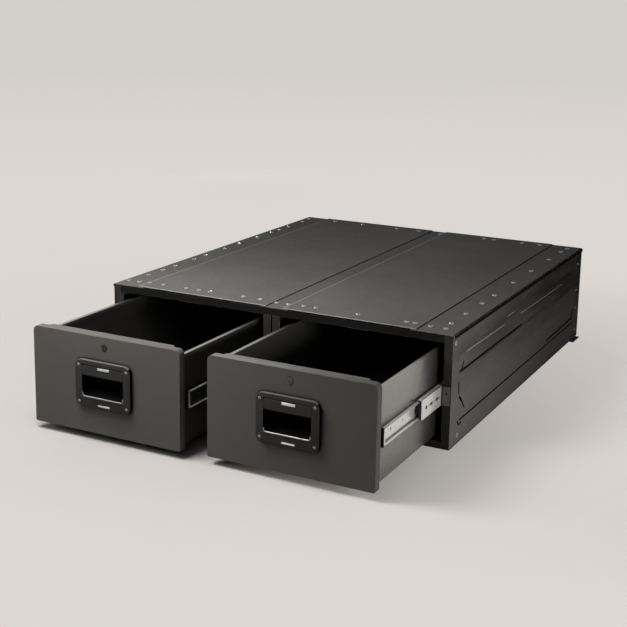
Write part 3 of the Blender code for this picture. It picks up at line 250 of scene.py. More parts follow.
class StageSettings(bpy.types.PropertyGroup):
    near: colour("Near floor", "Pale floor round the cabinet", (0.715, 0.679, 0.650))
    far: colour("Far floor", "Pale floor and backdrop far away", (0.645, 0.617, 0.591))
    albedo: share("Floor lightness", "How much of the light the floor gives back", 0.45)
    floor_radius: size("Floor radius", "Radius of the round floor", 90.0)
    left_power: watts("Left lamp", "Power of the soft lamp high on the left", 6.0)
    front_power: watts("Front lamp", "Power of the soft lamp near the drawer fronts", 8.8)
    top_power: watts("Top lamp", "Power of the soft lamp close above the front", 21.0)
    right_power: watts("Right lamp", "Power of the soft lamp low on the right", 9.0)
    back_power: watts("Back lamp", "Power of the soft lamp low behind the cabinet", 22.0)
    fill: FloatProperty(
        name="World light", description="Strength of the even light all round", min=0.0,
        default=0.07)
    focal_length: FloatProperty(
        name="Focal length", description="Focal length of the camera",
        subtype="DISTANCE_CAMERA", min=1.0, default=68.69)


class DrawerSystemSettings(bpy.types.PropertyGroup):
    coats: PointerProperty(type=CoatSettings)
    sheets: PointerProperty(type=SheetSettings)
    screws: PointerProperty(type=ScrewSettings)
    latch: PointerProperty(type=LatchSettings)
    slides: PointerProperty(type=SlideSettings)
    stage: PointerProperty(type=StageSettings)


def settings():
    return bpy.context.scene.drawer_system


# ---- shader nodes ----

class Nodes:
    """Short ways to add nodes to a shader tree. A value is a number, a colour or a socket."""

    def __init__(self, tree):
        self.tree = tree

    def feed(self, socket, value):
        if isinstance(value, bpy.types.NodeSocket):
            self.tree.links.new(value, socket)
        elif socket.type == "RGBA":
            socket.default_value = (*value[:3], 1.0)
        else:
            socket.default_value = value

    def fill(self, inputs, **values):
        for name, value in values.items():
            self.feed(inputs[name.replace("_", " ")], value)

    def add(self, kind, **values):
        """Add a node. Small letters name its settings and capitals name its inputs."""
        made = self.tree.nodes.new("ShaderNode" + kind)
        for name, value in values.items():
            if name.islower():
                setattr(made, name, value)
            else:
                self.fill(made.inputs, **{name: value})
        return made

    def effect(self, fetch_group, **values):
        return self.add("Group", node_tree=fetch_group(), **values).outputs

    def place(self, y_scale=1.0):
        """Where a point lies in its piece. A small y_scale draws a pattern out along Y."""
        here = self.add("TexCoord").outputs["Object"]
        if y_scale == 1.0:
            return here
        return self.add("Mapping", Vector=here, Scale=(1.0, y_scale, 1.0)).outputs["Vector"]

    def parts(self, vector):
        return self.add("SeparateXYZ", Vector=vector).outputs

    def math(self, operation, first, second, clamp=False):
        made = self.add("Math", operation=operation, use_clamp=clamp)
        self.feed(made.inputs[0], first)
        self.feed(made.inputs[1], second)
        return made.outputs[0]

    def times(self, first, second, clamp=False):
        return self.math("MULTIPLY", first, second, clamp)

    def plus(self, first, second, clamp=False):
        return self.math("ADD", first, second, clamp)

    def vector(self, operation, first, second):
        made = self.add("VectorMath", operation=operation)
        self.feed(made.inputs[0], first)
        self.feed(made.inputs[1], second)
        return made.outputs["Value" if operation == "DOT_PRODUCT" else "Vector"]

    def spread(self, value, from_low, from_high, to_low=0.0, to_high=1.0):
        return self.add("MapRange", Value=value, From_Min=from_low, From_Max=from_high,
                        To_Min=to_low, To_Max=to_high).outputs[0]

    def noise(self, vector, scale, detail=3.0, roughness=0.5):
        return self.add("TexNoise", Vector=vector, Scale=scale, Detail=detail,
                        Roughness=roughness).outputs["Fac"]

    def mix(self, factor, first, second, mode="MIX"):
        made = self.add("Mix", data_type="RGBA", blend_type=mode)
        for slot, value in zip((0, 6, 7), (factor, first, second)):
            self.feed(made.inputs[slot], value)
        return made.outputs[2]

    def bump(self, height, distance, strength=1.0, **under):
        return self.add("Bump", Strength=strength, Distance=distance, Height=height,
                        **under).outputs["Normal"]

    def seen(self):
        """1 for rays that show a surface itself, and 0 for those that fetch its light."""
        path = self.add("LightPath").outputs
        straight = self.math("MAXIMUM", path["Is Camera Ray"], path["Is Glossy Ray"])
        return self.math("MAXIMUM", straight, path["Is Transmission Ray"])


def shared_effect(name, outputs, **inputs):
    """Let the function below fill a shared node group, once, and fetch that group."""
    def wrap(fill):
        def fetch():
            if name not in bpy.data.node_groups:
                group = bpy.data.node_groups.new(name, "ShaderNodeTree")
                for label, value in inputs.items():
                    kind = "NodeSocketFloat" if isinstance(value, float) else "NodeSocketVector"
                    socket = group.interface.new_socket(
                        name=label, in_out="INPUT", socket_type=kind)
                    socket.default_value = value
                for label in outputs:
                    group.interface.new_socket(
                        name=label, in_out="OUTPUT", socket_type="NodeSocketFloat")
                given = group.nodes.new("NodeGroupInput").outputs
                result = group.nodes.new("NodeGroupOutput").inputs
                for label, value in zip(outputs, fill(Nodes(group), given)):
                    group.links.new(value, result[label])
            return bpy.data.node_groups[name]
        return fetch
    return wrap


@shared_effect("Edge wear", ("Mask", "Handling"), Radius=0.0015, Breakup=60.0, Amount=0.5)
def edge_wear(n, given):
    """Rubbed convex edges, broken up by noise, and soft patches of handling."""
    rounded = n.add("Bevel", samples=4, Radius=given["Radius"]).outputs["Normal"]
    flat = n.add("NewGeometry").outputs["Normal"]
    edge = n.math("SUBTRACT", 1.0, n.vector("DOT_PRODUCT", rounded, flat))
    broken = n.spread(n.noise(n.place(), given["Breakup"], 5.0, 0.65), 0.42, 0.66)
    mask = n.times(n.spread(edge, 0.02, 0.20), broken)
    handling = n.spread(n.noise(n.place(), 7.0, 4.0, 0.6), 0.35, 0.75)
    return n.times(mask, given["Amount"], clamp=True), handling


@shared_effect("Powder grain", ("Height", "Speckle", "Cloud"), Grain=900.0, Peel=160.0)
def powder_grain(n, given):
    """Powder coat: a pebbled height with slow orange peel, a speckle and soft clouds."""
    pebbles = n.add("TexVoronoi", feature="SMOOTH_F1", Vector=n.place(),
                    Scale=given["Grain"], Smoothness=0.6)
    fine = n.noise(n.place(), given["Grain"], 2.0, 0.6)
    peel = n.noise(n.place(), given["Peel"], 2.0, 0.5)
    raised = n.math("SUBTRACT", 1.0, pebbles.outputs["Distance"])
    height = n.plus(n.times(raised, 0.45), n.times(fine, 0.30))
    clouds = n.noise(n.place(), 3.4, 4.0, 0.55)
    return (n.plus(height, n.times(peel, 0.45)), n.spread(fine, 0.35, 0.65),
            n.spread(clouds, 0.3, 0.7))


@shared_effect("Crevice grime", ("Mask",), Reach=0.008, Amount=0.7)
def crevice_shade(n, given):
    """Painted shade where neighbouring faces close in: creases, corners and gaps between parts.
    """
    closed = n.add("AmbientOcclusion", samples=6, Distance=given["Reach"]).outputs["AO"]
    return [n.times(n.spread(closed, 0.55, 0.95, 1.0, 0.0), given["Amount"], clamp=True)]


@shared_effect("Settled dust", ("Mask",), Amount=0.2)
def settled_dust(n, given):
    """Dust that lies on upward faces, in soft patches and specks."""
    up = n.spread(n.parts(n.add("NewGeometry").outputs["Normal"])["Z"], 0.5, 1.0)
    patches = n.spread(n.noise(n.place(), 5.0, 6.0, 0.62), 0.38, 0.78)
    specks = n.spread(n.noise(n.place(), 420.0, 1.0, 0.5), 0.66, 0.74, 0.0, 0.8)
    return [n.times(n.times(up, n.plus(patches, specks)), given["Amount"], clamp=True)]


@shared_effect("Drawn lines", ("Lines", "Spangle"), Lines=900.0)
def drawn_lines(n, given):
    """Rolled metal: fine lines that run along Y, and the spangle of its plating."""
    spangle = n.add("TexVoronoi", Vector=n.place(), Scale=130.0).outputs["Distance"]
    return n.noise(n.place(0.02), given["Lines"], 3.0, 0.6), spangle


@shared_effect("Sheet waves", ("Height",), Waves=11.0)
def sheet_waves(n, given):
    """Thin sheet that is never quite flat: long shallow waves that run along Y."""
    return [n.noise(n.place(0.16), given["Waves"], 2.0, 0.5)]


@shared_effect("Side soot", ("Mask",), Amount=0.5)
def side_shade(n, given):
    """Painted shade high on the side panels, more to the back, in long bands that run along Y.
    """
    here = n.parts(n.place())
    back = n.spread(here["Y"], -0.58, 0.16, 0.46, 1.0)
    above = n.spread(here["Z"], 0.120, 0.180)
    below = n.spread(here["Z"], 0.250, 0.300, 1.0, 0.80)
    shade_streaks = n.spread(n.noise(n.place(0.13), 27.0, 3.0, 0.6), 0.36, 0.62, 0.40, 1.0)
    mask = n.times(n.times(back, above), n.times(below, shade_streaks))
    return [n.times(mask, given["Amount"], clamp=True)]


@shared_effect("Lamp level", ("Level",), Place=(0.0, 0.0, 0.0), Aim=(0.0, 0.0, 0.0), Power=10.0)
def lamp_level(n, given):
    """How strongly one soft lamp lights the floor at a point."""
    ray = n.vector("SUBTRACT", n.place(), given["Place"])
    squared = n.vector("DOT_PRODUCT", ray, ray)
    ahead = n.math("MAXIMUM", n.vector("DOT_PRODUCT", ray, given["Aim"]), 0.0)
    level = n.times(ahead, n.parts(given["Place"])["Z"])
    level = n.math("DIVIDE", level, n.math("POWER", squared, 2.0))
    return [n.math("DIVIDE", n.times(level, given["Power"]), math.pi ** 2)]


# ---- finishes ----

def scaled(base, factor):
    return tuple(factor * part for part in base)


def start_material(name, **uniform):
    """A material whose plain values stand on the sockets of its own shader."""
    material = bpy.data.materials.new(name)
    material.use_nodes = True
    shader = material.node_tree.nodes["Principled BSDF"].inputs
    n = Nodes(material.node_tree)
    n.fill(shader, **uniform)
    return material, n, shader


# painted shade: where neighbouring faces close in, the colour is drawn down to 6 % of the base
def add_crevice_shade(n, tint, base, reach, amount):
    closed = n.effect(crevice_shade, Reach=reach, Amount=amount)["Mask"]
    return n.mix(closed, tint, scaled(base, 0.06))


def make_coat(name, base, grain=1.0, wear=0.35, dust=0.16, roughness=None, bump=0.55,
              wear_radius=0.0014, specular=0.0, metal=0.0, reach=0.007, grime=0.85,
              waves=0.0, soot=0.0):
    """Textured powder coat on steel, worn along its edges, with dust, painted shade in its
    crevices and, where asked, painted shade high on the side panels.
    """
    coats = settings().coats
    rough = coats.roughness if roughness is None else roughness
    grain_size = coats.grain * grain
    material, n, shader = start_material(name, Specular_IOR_Level=specular)
    powder = n.effect(powder_grain, Grain=1.0 / grain_size, Peel=0.16 / grain_size)
    worn = n.effect(edge_wear, Radius=wear_radius, Amount=wear)
    lying = n.effect(settled_dust, Amount=dust)["Mask"]
    tint = n.mix(powder["Speckle"], scaled(base, 0.78), scaled(base, 1.22))
    clouds = n.mix(powder["Cloud"], (0.90, 0.90, 0.90), (1.0, 1.0, 1.0))
    tint = n.mix(1.0, tint, clouds, "MULTIPLY")
    tint = n.mix(lying, tint, coats.dust)
    tint = n.mix(worn["Mask"], tint, coats.bare)
    # painted shade: the side panels are darkened high up and towards the back, in long bands
    # along Y
    if soot:
        shade_streaks = n.effect(side_shade, Amount=soot)["Mask"]
        tint = n.mix(shade_streaks, tint, scaled(base, 0.16))
    metallic = n.plus(n.times(worn["Mask"], 0.8 - metal), metal)
    shine = n.spread(worn["Handling"], 0.0, 1.0, rough + 0.05, rough - 0.06)
    shine = n.plus(shine, n.times(powder["Speckle"], 0.08))
    shine = n.plus(shine, n.times(lying, 0.5), clamp=True)
    under = {}
    if waves:
        under["Normal"] = n.bump(n.effect(sheet_waves)["Height"], waves)
    # the base colour carries the painted shade of the crevices
    n.fill(shader, Base_Color=add_crevice_shade(n, tint, base, reach, grime), Metallic=metallic,
           Roughness=shine, Normal=n.bump(powder["Height"], 0.00022 * grain, bump, **under))


def make_metal(name, base, roughness, lines, wear=0.0, stain=0.25, bump=0.25, metal=1.0,
               reach=0.004, uneven=1.0):
    """Drawn or plated metal with fine lines along it, spangle and stains."""
    material, n, shader = start_material(name, Metallic=metal)
    drawn = n.effect(drawn_lines, Lines=lines)
    worn = n.effect(edge_wear, Radius=0.0008, Amount=wear, Breakup=140.0)
    lying = n.effect(settled_dust, Amount=0.10)["Mask"]
    tint = n.mix(worn["Handling"], base, scaled(base, 1.0 - stain))
    shade = n.mix(drawn["Lines"], (0.88, 0.88, 0.88), (1.0, 1.0, 1.0))
    tint = n.mix(1.0, tint, shade, "MULTIPLY")
    tint = n.mix(worn["Mask"], tint, [min(1.0, part) for part in scaled(base, 1.25)])
    tint = n.mix(lying, tint, settings().coats.dust)
    shine = n.spread(drawn["Spangle"], 0.0, 0.8, roughness - 0.02 * uneven,
                     roughness + 0.03 * uneven)
    shine = n.plus(shine, n.times(drawn["Lines"], 0.05 * uneven), clamp=True)
    # the base colour carries the painted shade of the crevices
    n.fill(shader, Base_Color=add_crevice_shade(n, tint, base, reach, 0.95), Roughness=shine,
           Normal=n.bump(drawn["Lines"], 0.00006, bump))


# how each finish is made, its colour among the coats, and what sets it apart
FINISHES = {
    "cabinet_coat": (make_coat, "cabinet", dict(dust=0.06)),
    # the side panels' coat carries painted shade high up and to the back
    "panel_coat": (make_coat, "cabinet", dict(dust=0.06, waves=0.020, soot=0.75)),
    # painted highlight
    "rubbed_coat": (make_coat, "rubbed", dict(dust=0.05, wear=0.7)),
    "deck_coat": (make_coat, "deck", dict(
        grain=1.6, dust=0.07, bump=0.8, wear=0.7, wear_radius=0.002, roughness=0.55)),
    "drawer_coat": (make_coat, "drawer", dict(grain=0.9, wear=0.5, specular=0.05)),
    "frame_coat": (make_coat, "frame", dict(dust=0.05, wear=0.45)),
    "rail_coat": (make_coat, "rail", dict(dust=0.05, wear=0.45)),
    # near-black painted shade
    "pocket_coat": (make_coat, "pocket", dict(
        grain=0.55, wear=0.1, dust=0.0, roughness=0.4, bump=0.3, wear_radius=0.0009,
        reach=0.03)),
    # its long crevice reach paints shade on the walls in the gap between the drawers
    "tray_coat": (make_coat, "tray", dict(
        grain=0.8, wear=0.4, dust=0.05, roughness=0.24, bump=0.16, metal=0.9, specular=0.5,
        reach=0.110, grime=0.78)),
    # dark inside, and painted shade on the walls in the gap between the drawers
    "tray_lining": (make_coat, "lining", dict(grain=0.8, wear=0.4, dust=0.10, bump=0.3)),
    "latch_coat": (make_coat, "latch", dict(
        grain=0.55, wear=0.32, dust=0.02, roughness=0.34, bump=0.3, wear_radius=0.0009,
        reach=0.045, specular=0.06)),
    "screw_steel": (make_coat, "screw", dict(
        grain=0.5, wear=1.0, dust=0.0, roughness=0.24, bump=0.1, wear_radius=0.0016,
        specular=0.45, reach=0.002)),
    "buffer_plastic": (make_coat, "buffer", dict(
        grain=0.5, wear=0.05, dust=0.05, roughness=0.5, bump=0.2)),
    "bright_zinc": (make_metal, "zinc", dict(
        roughness=0.26, lines=600.0, wear=0.2, stain=0.12, bump=0.005, metal=0.72,
        reach=0.006, uneven=0.1)),
    # painted shade
    "dull_zinc": (make_metal, "dull_zinc", dict(
        roughness=0.26, lines=1500.0, wear=0.9, bump=0.06, reach=0.040)),
    "dark_steel": (make_metal, "dark_steel", dict(roughness=0.42, lines=1200.0, wear=0.7)),
    "bare_plate": (make_metal, "plate", dict(roughness=0.30, lines=2200.0, wear=0.4)),
    "sill_steel": (make_metal, "sill", dict(roughness=0.40, lines=2200.0, wear=0.6)),
}


def finish(name):
    """The material of a finish, made when it is first asked for."""
    full_name = name + "_finish"
    if full_name not in bpy.data.materials:
        make, base, values = FINISHES[name]
        make(full_name, getattr(settings().coats, base), **values)
    return bpy.data.materials[full_name]


# ---- meshes and pieces ----

def mesh_from(name, bm):
    mesh = bpy.data.meshes.new(name)
    bm.to_mesh(mesh)
    bm.free()
    return mesh


def put_in_scene(name, data):
    made = bpy.data.objects.new(name, data)
    bpy.context.scene.collection.objects.link(made)
    return made


def add_piece(name, bm, finish_name, body):
    """Turn a bmesh into a piece that rides on a body and takes one of the part's finishes."""
    mesh = mesh_from(name, bm)
    mesh.shade_smooth()
    mesh.set_sharp_from_angle(angle=math.radians(32.0))
    piece = put_in_scene(name, mesh)
    mesh.materials.append(finish(finish_name))
    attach(piece, body)
    return piece


def body_of(node):
    return frame["nodes"][node]["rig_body"]


def round_off(bm, edges, radius, segments):
    bmesh.ops.bevel(bm, geom=edges, offset=radius, offset_type="OFFSET", segments=segments,
                    profile=0.5, affect="EDGES", material=-1, clamp_overlap=True)


def softened(node, finish_name, width, segments=2, angle=34.0, rounds=(), shape=None):
    """A merged copy of a sheet, with its edges rounded, in place of the plain one.

    Each entry of rounds is a test on an edge's two ends and the larger radius it gets, and
    shape is a function that works on the merged bmesh before that.
    """
    mesh = frame["nodes"][node].data
    bm = bmesh.new()
    bm.from_mesh(mesh)
    bmesh.ops.remove_doubles(bm, verts=bm.verts, dist=WELD)
    bmesh.ops.dissolve_limit(bm, angle_limit=math.radians(1.0), verts=bm.verts, edges=bm.edges,
                             use_dissolve_boundaries=False)
    if shape:
        shape(bm)
    for test, radius in rounds:
        chosen = [edge for edge in bm.edges if test(*(vert.co for vert in edge.verts))]
        round_off(bm, chosen, radius, 5)
    piece = add_piece(node + "_finish", bm, finish_name, body_of(node))
    bevel = piece.modifiers.new("Rounded edges", "BEVEL")
    bevel.width = width
    bevel.segments = segments
    bevel.limit_method = "ANGLE"
    bevel.angle_limit = math.radians(angle)
    bevel.harden_normals = True
    bevel.use_clamp_overlap = True
    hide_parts(node)
    return piece


def edge_at(least=0.0, **wanted):
    """A test for edges longer than least, with both ends at the wanted x, y or z."""
    def test(first, second):
        return (first - second).length > least and all(
            abs(getattr(end, axis) - value) < SAME
            for end in (first, second) for axis, value in wanted.items())
    return test


def coat_faces(piece, finish_name, test):
    """Give the faces that pass the test a second finish."""
    piece.data.materials.append(finish(finish_name))
    for face in piece.data.polygons:
        if test(face):
            face.material_index = len(piece.data.materials) - 1


def keep_with(node, finish_name):
    """Give a carried-over node a better material."""
    materials = frame["nodes"][node].data.materials
    for place in range(len(materials)):
        materials[place] = finish(finish_name)


def button_head(radius, height, socket, depth):
    """A domed screw head with a hexagon socket, standing on the origin along +Z."""
    steps, sides = 5, 18
    flat_steps = 1.6    # how many steps of the dome its flat top leaves out
    fullness = 0.8      # below 1 the dome is fuller than a ball
    rim_share = 0.12    # width of the ring round the flat top, in the head's radius
    bm = bmesh.new()
    chain = [bm.verts.new((radius, 0, 0))]
    for step in range(1, steps + 1):
        turn = math.radians(90.0 * step / (steps + flat_steps))
        rise = height * math.sin(turn) ** fullness
        chain.append(bm.verts.new((radius * math.cos(turn), 0, rise)))
    edges = [bm.edges.new(pair) for pair in zip(chain, chain[1:])]
    bmesh.ops.spin(bm, geom=chain + edges, axis=(0, 0, 1), cent=(0, 0, 0), angle=math.tau,
                   steps=sides, use_merge=True, use_duplicate=False)
    bmesh.ops.remove_doubles(bm, verts=bm.verts, dist=WELD / 10)
    rim = [edge for edge in bm.edges if edge.is_boundary and edge.verts[0].co.z > height * 0.4]
    top = bmesh.ops.contextual_create(bm, geom=rim)["faces"][0]
    bmesh.ops.inset_region(bm, faces=[top], thickness=radius * rim_share, depth=0.0)
    bmesh.ops.recalc_face_normals(bm, faces=bm.faces)
    top = max((f for f in bm.faces if len(f.verts) > 6), key=lambda f: f.calc_center_median().z)
    cup = bmesh.ops.create_circle(bm, cap_ends=False, segments=6, radius=socket)["verts"]
    bmesh.ops.translate(bm, verts=cup, vec=(0, 0, top.calc_center_median().z))
    cup_edges = list({edge for vert in cup for edge in vert.link_edges})
    outline = list(top.edges)
    bmesh.ops.delete(bm, geom=[top], context="FACES_ONLY")
    bmesh.ops.bridge_loops(bm, edges=cup_edges + outline)
    floor = bmesh.ops.contextual_create(bm, geom=cup_edges)["faces"][0]
    sunk = bmesh.ops.extrude_discrete_faces(bm, faces=[floor])["faces"][0]
    bmesh.ops.translate(bm, verts=sunk.verts, vec=(0, 0, -depth))
    bmesh.ops.recalc_face_normals(bm, faces=bm.faces)
    return mesh_from("button head", bm)


def screw_row(name, head, places, up, body):
    """One piece of equal heads that point up from their places, each turned a little."""
    bm = bmesh.new()
    rotation = Vector(up).to_track_quat("Z", "Y").to_matrix().to_4x4()
    for count, place in enumerate(places):
        before = len(bm.verts)
        bm.from_mesh(head)
        bm.verts.ensure_lookup_table()
        matrix = Matrix.Translation(place) @ rotation @ Matrix.Rotation(0.9 * count, 4, "Z")
        bmesh.ops.transform(bm, matrix=matrix, verts=bm.verts[before:])
    return add_piece(name, bm, "screw_steel", body)


def add_bar(name, finish_name, body, lowest, highest, rounding, segments=3):
    """A piece that is a block between two corners, with its edges rounded."""
    bm = bmesh.new()
    made = bmesh.ops.create_cube(bm, size=1.0)["verts"]
    lowest, highest = Vector(lowest), Vector(highest)
    bmesh.ops.scale(bm, verts=made, vec=highest - lowest)
    bmesh.ops.translate(bm, verts=made, vec=(lowest + highest) / 2)
    edges = list({edge for vert in made for edge in vert.link_edges})
    round_off(bm, edges, rounding, segments)
    return add_piece(name, bm, finish_name, body)


# ---- operators ----

class DRAWERS_OT_carcass(bpy.types.Operator):
    """Give the pan, the back, the rail, the uprights and the brackets their coats"""
    bl_idname = "drawers.carcass"
    bl_label = "Carcass sheets"

    def execute(self, context):
        edge = settings().sheets.edge
        softened("back_panel", "cabinet_coat", edge)
        softened("front_rail", "rail_coat", edge)
        for node in ("base_pan", "centre_upright_left", "centre_upright_right"):
            softened(node, "frame_coat", edge)
        for side in SIDES:
            softened("hold_down_" + side, "cabinet_coat", edge)
            softened("striker_" + side, "bright_zinc", edge)
            for place in PLACES:
                keep_with(f"slide_support_{side}_{place}", "cabinet_coat")
        return {"FINISHED"}


class DRAWERS_OT_side_panels(bpy.types.Operator):
    """Finish the two pressed side panels with their folded front posts"""
    bl_idname = "drawers.side_panels"
    bl_label = "Side panels"

    # both ends of each line on the panel's outer face, as places along Y and up
    creases = (
        ((-0.524, 0.1862), (-0.030, 0.1864)),
        ((-0.516, 0.0585), (0.514, 0.0600)),
        ((0.4860, 0.0720), (0.4880, 0.1120)),
        ((-0.506, 0.2100), (-0.526, 0.1860)),
        ((-0.5285, 0.1600), (-0.5265, 0.1300)),
        ((-0.5240, 0.1240), (-0.4900, 0.0840)),
        ((-0.5320, 0.0630), (-0.5160, 0.0455)),
        ((-0.5160, 0.0455), (-0.5020, 0.0500)),
        ((0.2100, 0.0745), (0.4830, 0.0810)),
    )
    ridges = (
        ((-0.490, 0.2290), (-0.200, 0.2256)),
        ((-0.168, 0.2410), (-0.110, 0.2400)),
        ((-0.060, 0.2240), (0.360, 0.2190)),
    )

    post_facing = 0.9    # a face that looks forward by more than this is the post's

    def execute(self, context):
        sheets = settings().sheets
        for side, x in (("left", -SKIN), ("right", SKIN)):
            panel = softened("side_panel_" + side, "panel_coat", sheets.post, 3, 12.0,
                             rounds=[(edge_at(x=x, y=CABINET_FRONT), sheets.corner)],
                             shape=self.add_lines)
            # the creases take near-black painted shade and the ridges a painted highlight
            for line_finish in ("pocket_coat", "rubbed_coat"):
                panel.data.materials.append(finish(line_finish))
            coat_faces(panel, "frame_coat", lambda face: face.normal.y < -self.post_facing)
        return {"FINISHED"}

    def add_lines(self, bm):
        """Raise the creases, with the near-black painted shade of the second finish, and the
        ridges, with the painted highlight of the third finish.
        """
        sheets = settings().sheets
        for start, end in self.creases:
            self.press_line(bm, start, end, sheets.crease_width, sheets.crease_height, 1)
        for start, end in self.ridges:
            self.press_line(bm, start, end, sheets.ridge_width, sheets.ridge_height, 2)

    def press_line(self, bm, start, end, width, raised, material_index):
        """Cut a narrow band round a line into both panels' outer faces and raise its middle."""
        start, end = Vector((0, *start)), Vector((0, *end))
        length = (end - start).length
        along = (end - start).normalized()
        across = Vector((1, 0, 0)).cross(along)
        half = width / 2

        def outer(face):
            x = face.calc_center_median().x
            return abs(x) > SKIN_LIMIT and face.normal.x * x > 0

        def cut(place, normal):
            bm.normal_update()
            faces = [face for face in bm.faces if outer(face)]
            edges = list({edge for face in faces for edge in face.edges})
            bmesh.ops.bisect_plane(bm, geom=faces + edges, dist=WELD, plane_co=place,
                                   plane_no=normal)

        for shift in (-half, 0.0, half):
            cut(start + across * shift, across)
        for shift in (0.0, half * 1.5):
            cut(start + along * shift, along)
            cut(end - along * shift, along)
        bm.normal_update()
        for vert in bm.verts:
            flat = Vector((0, vert.co.y, vert.co.z)) - start
            if (abs(vert.co.x) > SKIN_LIMIT and abs(flat.dot(across)) < WELD * 2
                    and half < flat.dot(along) < length - half):
                for face in vert.link_faces:
                    if outer(face):
                        face.material_index = material_index
                vert.co.x += math.copysign(raised, vert.co.x)


class DRAWERS_OT_top(bpy.types.Operator):
    """Finish the top strips and the two deck panels that lie over them"""
    bl_idname = "drawers.top"
    bl_label = "Top strips and deck panels"

    # edge radii of the outer strips, the decks and the centre strip, in the sheets' own
    strip_edge, deck_edge, centre_edge = 1.4, 1.8, 1.6
    shoulder_facing = 0.25    # down a shoulder the rail's dark coat begins at this slant, as painted shade

    def execute(self, context):
        sheets = settings().sheets
        front = CABINET_FRONT + sheets.painted_highlight_width
        for side, x in (("left", CABINET_LEFT), ("right", CABINET_RIGHT)):
            strip = softened(
                "top_strip_" + side, "cabinet_coat", sheets.edge * self.strip_edge, 3,
                rounds=[(edge_at(least=0.1, x=x, z=STRIP_TOP), sheets.shoulder),
                        (edge_at(x=x, y=CABINET_FRONT), sheets.corner)])
            # painted shade: the rail's dark coat down the strip's outer shoulder
            coat_faces(strip, "rail_coat",
                       lambda face: abs(face.normal.x) > self.shoulder_facing)
            rubbed = low("deck_panel_" + side).x + sheets.painted_highlight_width

            def mark_edges(bm):
                for place, facing in (((rubbed, 0, 0), (1, 0, 0)), ((0, front, 0), (0, 1, 0))):
                    bmesh.ops.bisect_plane(bm, geom=[*bm.faces, *bm.edges], dist=WELD,
                                           plane_co=place, plane_no=facing)

            deck = softened("deck_panel_" + side, "deck_coat",
                            sheets.edge * self.deck_edge, 3, shape=mark_edges)
            # painted highlight along the deck panel's left and front edges
            coat_faces(deck, "rubbed_coat", lambda face: (
                (face.center.x < rubbed or face.center.y < front) and face.normal.z > FACING))
            # painted shade: the deck panel's right edges are near black
            coat_faces(deck, "pocket_coat", lambda face: face.normal.x > SQUARE_TO)
        softened("top_strip_centre", "cabinet_coat", sheets.edge * self.centre_edge, 3)
        return {"FINISHED"}


class DRAWERS_OT_top_screws(bpy.types.Operator):
    """Set the rows of button-head screws on the top and the screws and rivets on the sides"""
    bl_idname = "drawers.top_screws"
    bl_label = "Button-head screws"

    # distances along each row, from the cabinet's left or from its front
    rows = {
        "front": (0.020, 0.055, 0.090, 0.135, 0.210, 0.250, 0.285, 0.390, 0.440, 0.490, 0.525,
                  0.570, 0.605, 0.725, 0.858, 0.880, 0.920, 0.960),
        "back": (0.025, 0.130, 0.235, 0.365, 0.445, 0.525, 0.680, 0.715, 0.810, 0.870, 0.960),
        "left": (0.125, 0.195, 0.260, 0.360, 0.425, 0.535, 0.625, 0.740, 0.835, 0.890, 0.955,
                 1.060),
        "right": (0.095, 0.200, 0.320, 0.420, 0.585, 0.750, 0.930, 1.060),
    }
    # height, socket radius and socket depth of a small rivet, in a screw's height, in its
    # own radius and in a screw's depth
    rivet_height, rivet_socket, rivet_depth = 0.6, 0.3, 0.5
    # distances from the cabinet's front, and heights
    side_screws = ((0.016, 0.268), (0.051, 0.023))
    side_rivets = ((1.1135, 0.247), (1.1135, 0.162), (1.1120, 0.103), (1.1200, 0.030))

    def on_top(self, x, y):
        """The place at x and y on the sheet that shows there."""
        for side in SIDES:
            lowest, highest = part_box("deck_panel_" + side)
            if lowest.x <= x <= highest.x:
                return Vector((x, y, highest.z))
        return Vector((x, y, STRIP_TOP))

    def execute(self, context):
        screws = settings().screws
        head = button_head(screws.radius, screws.height, screws.socket, screws.depth)
        small = button_head(screws.rivet, screws.height * self.rivet_height,
                            screws.rivet * self.rivet_socket,
                            screws.depth * self.rivet_depth)
        across = {"front": CABINET_FRONT + screws.front_row,
                  "back": CABINET_BACK - screws.back_row}
        along = {"left": CABINET_LEFT + screws.left_row,
                 "right": CABINET_RIGHT - screws.right_row}
        for name, row in self.rows.items():
            if name in across:
                places = [self.on_top(CABINET_LEFT + step, across[name]) for step in row]
            else:
                places = [self.on_top(along[name], CABINET_FRONT + step) for step in row]
            screw_row("top_screws_" + name, head, places, (0, 0, 1), "cabinet")
        for side, x, facing in (("left", CABINET_LEFT + PRESS_PROUD, -1),
                                ("right", CABINET_RIGHT - PRESS_PROUD, 1)):
            for name, mesh, spots in (("side_screws_", head, self.side_screws),
                                      ("side_rivets_", small, self.side_rivets)):
                places = [Vector((x, CABINET_FRONT + y, z)) for y, z in spots]
                screw_row(name + side, mesh, places, (facing, 0, 0), "cabinet")
        return {"FINISHED"}


class DRAWERS_OT_drawers(bpy.types.Operator):
    """Finish the drawer fronts, the trays and the back walls"""
    bl_idname = "drawers.drawers"
    bl_label = "Drawer fronts and trays"

    def execute(self, context):
        sheets = settings().sheets
        for side, gap in (("left", 1), ("right", -1)):
            softened("drawer_front_" + side, "drawer_coat", sheets.bend, 3, 40.0)
            tray = softened("drawer_tray_" + side, "tray_coat", sheets.edge)
            centre = middle("drawer_tray_" + side).x
            rim = high("drawer_tray_" + side).z - TRAY_RIM
            # the dark coat covers the inside, and on the wall that faces the other drawer it is
            # painted shade
            coat_faces(tray, "tray_lining", lambda face: (
                (face.normal.z > FACING and face.center.z < rim)
                or face.normal.x * gap > FACING
                or face.normal.x * (face.center.x - centre) < -SAME))
            softened("drawer_back_" + side, "tray_lining", sheets.edge)
        return {"FINISHED"}


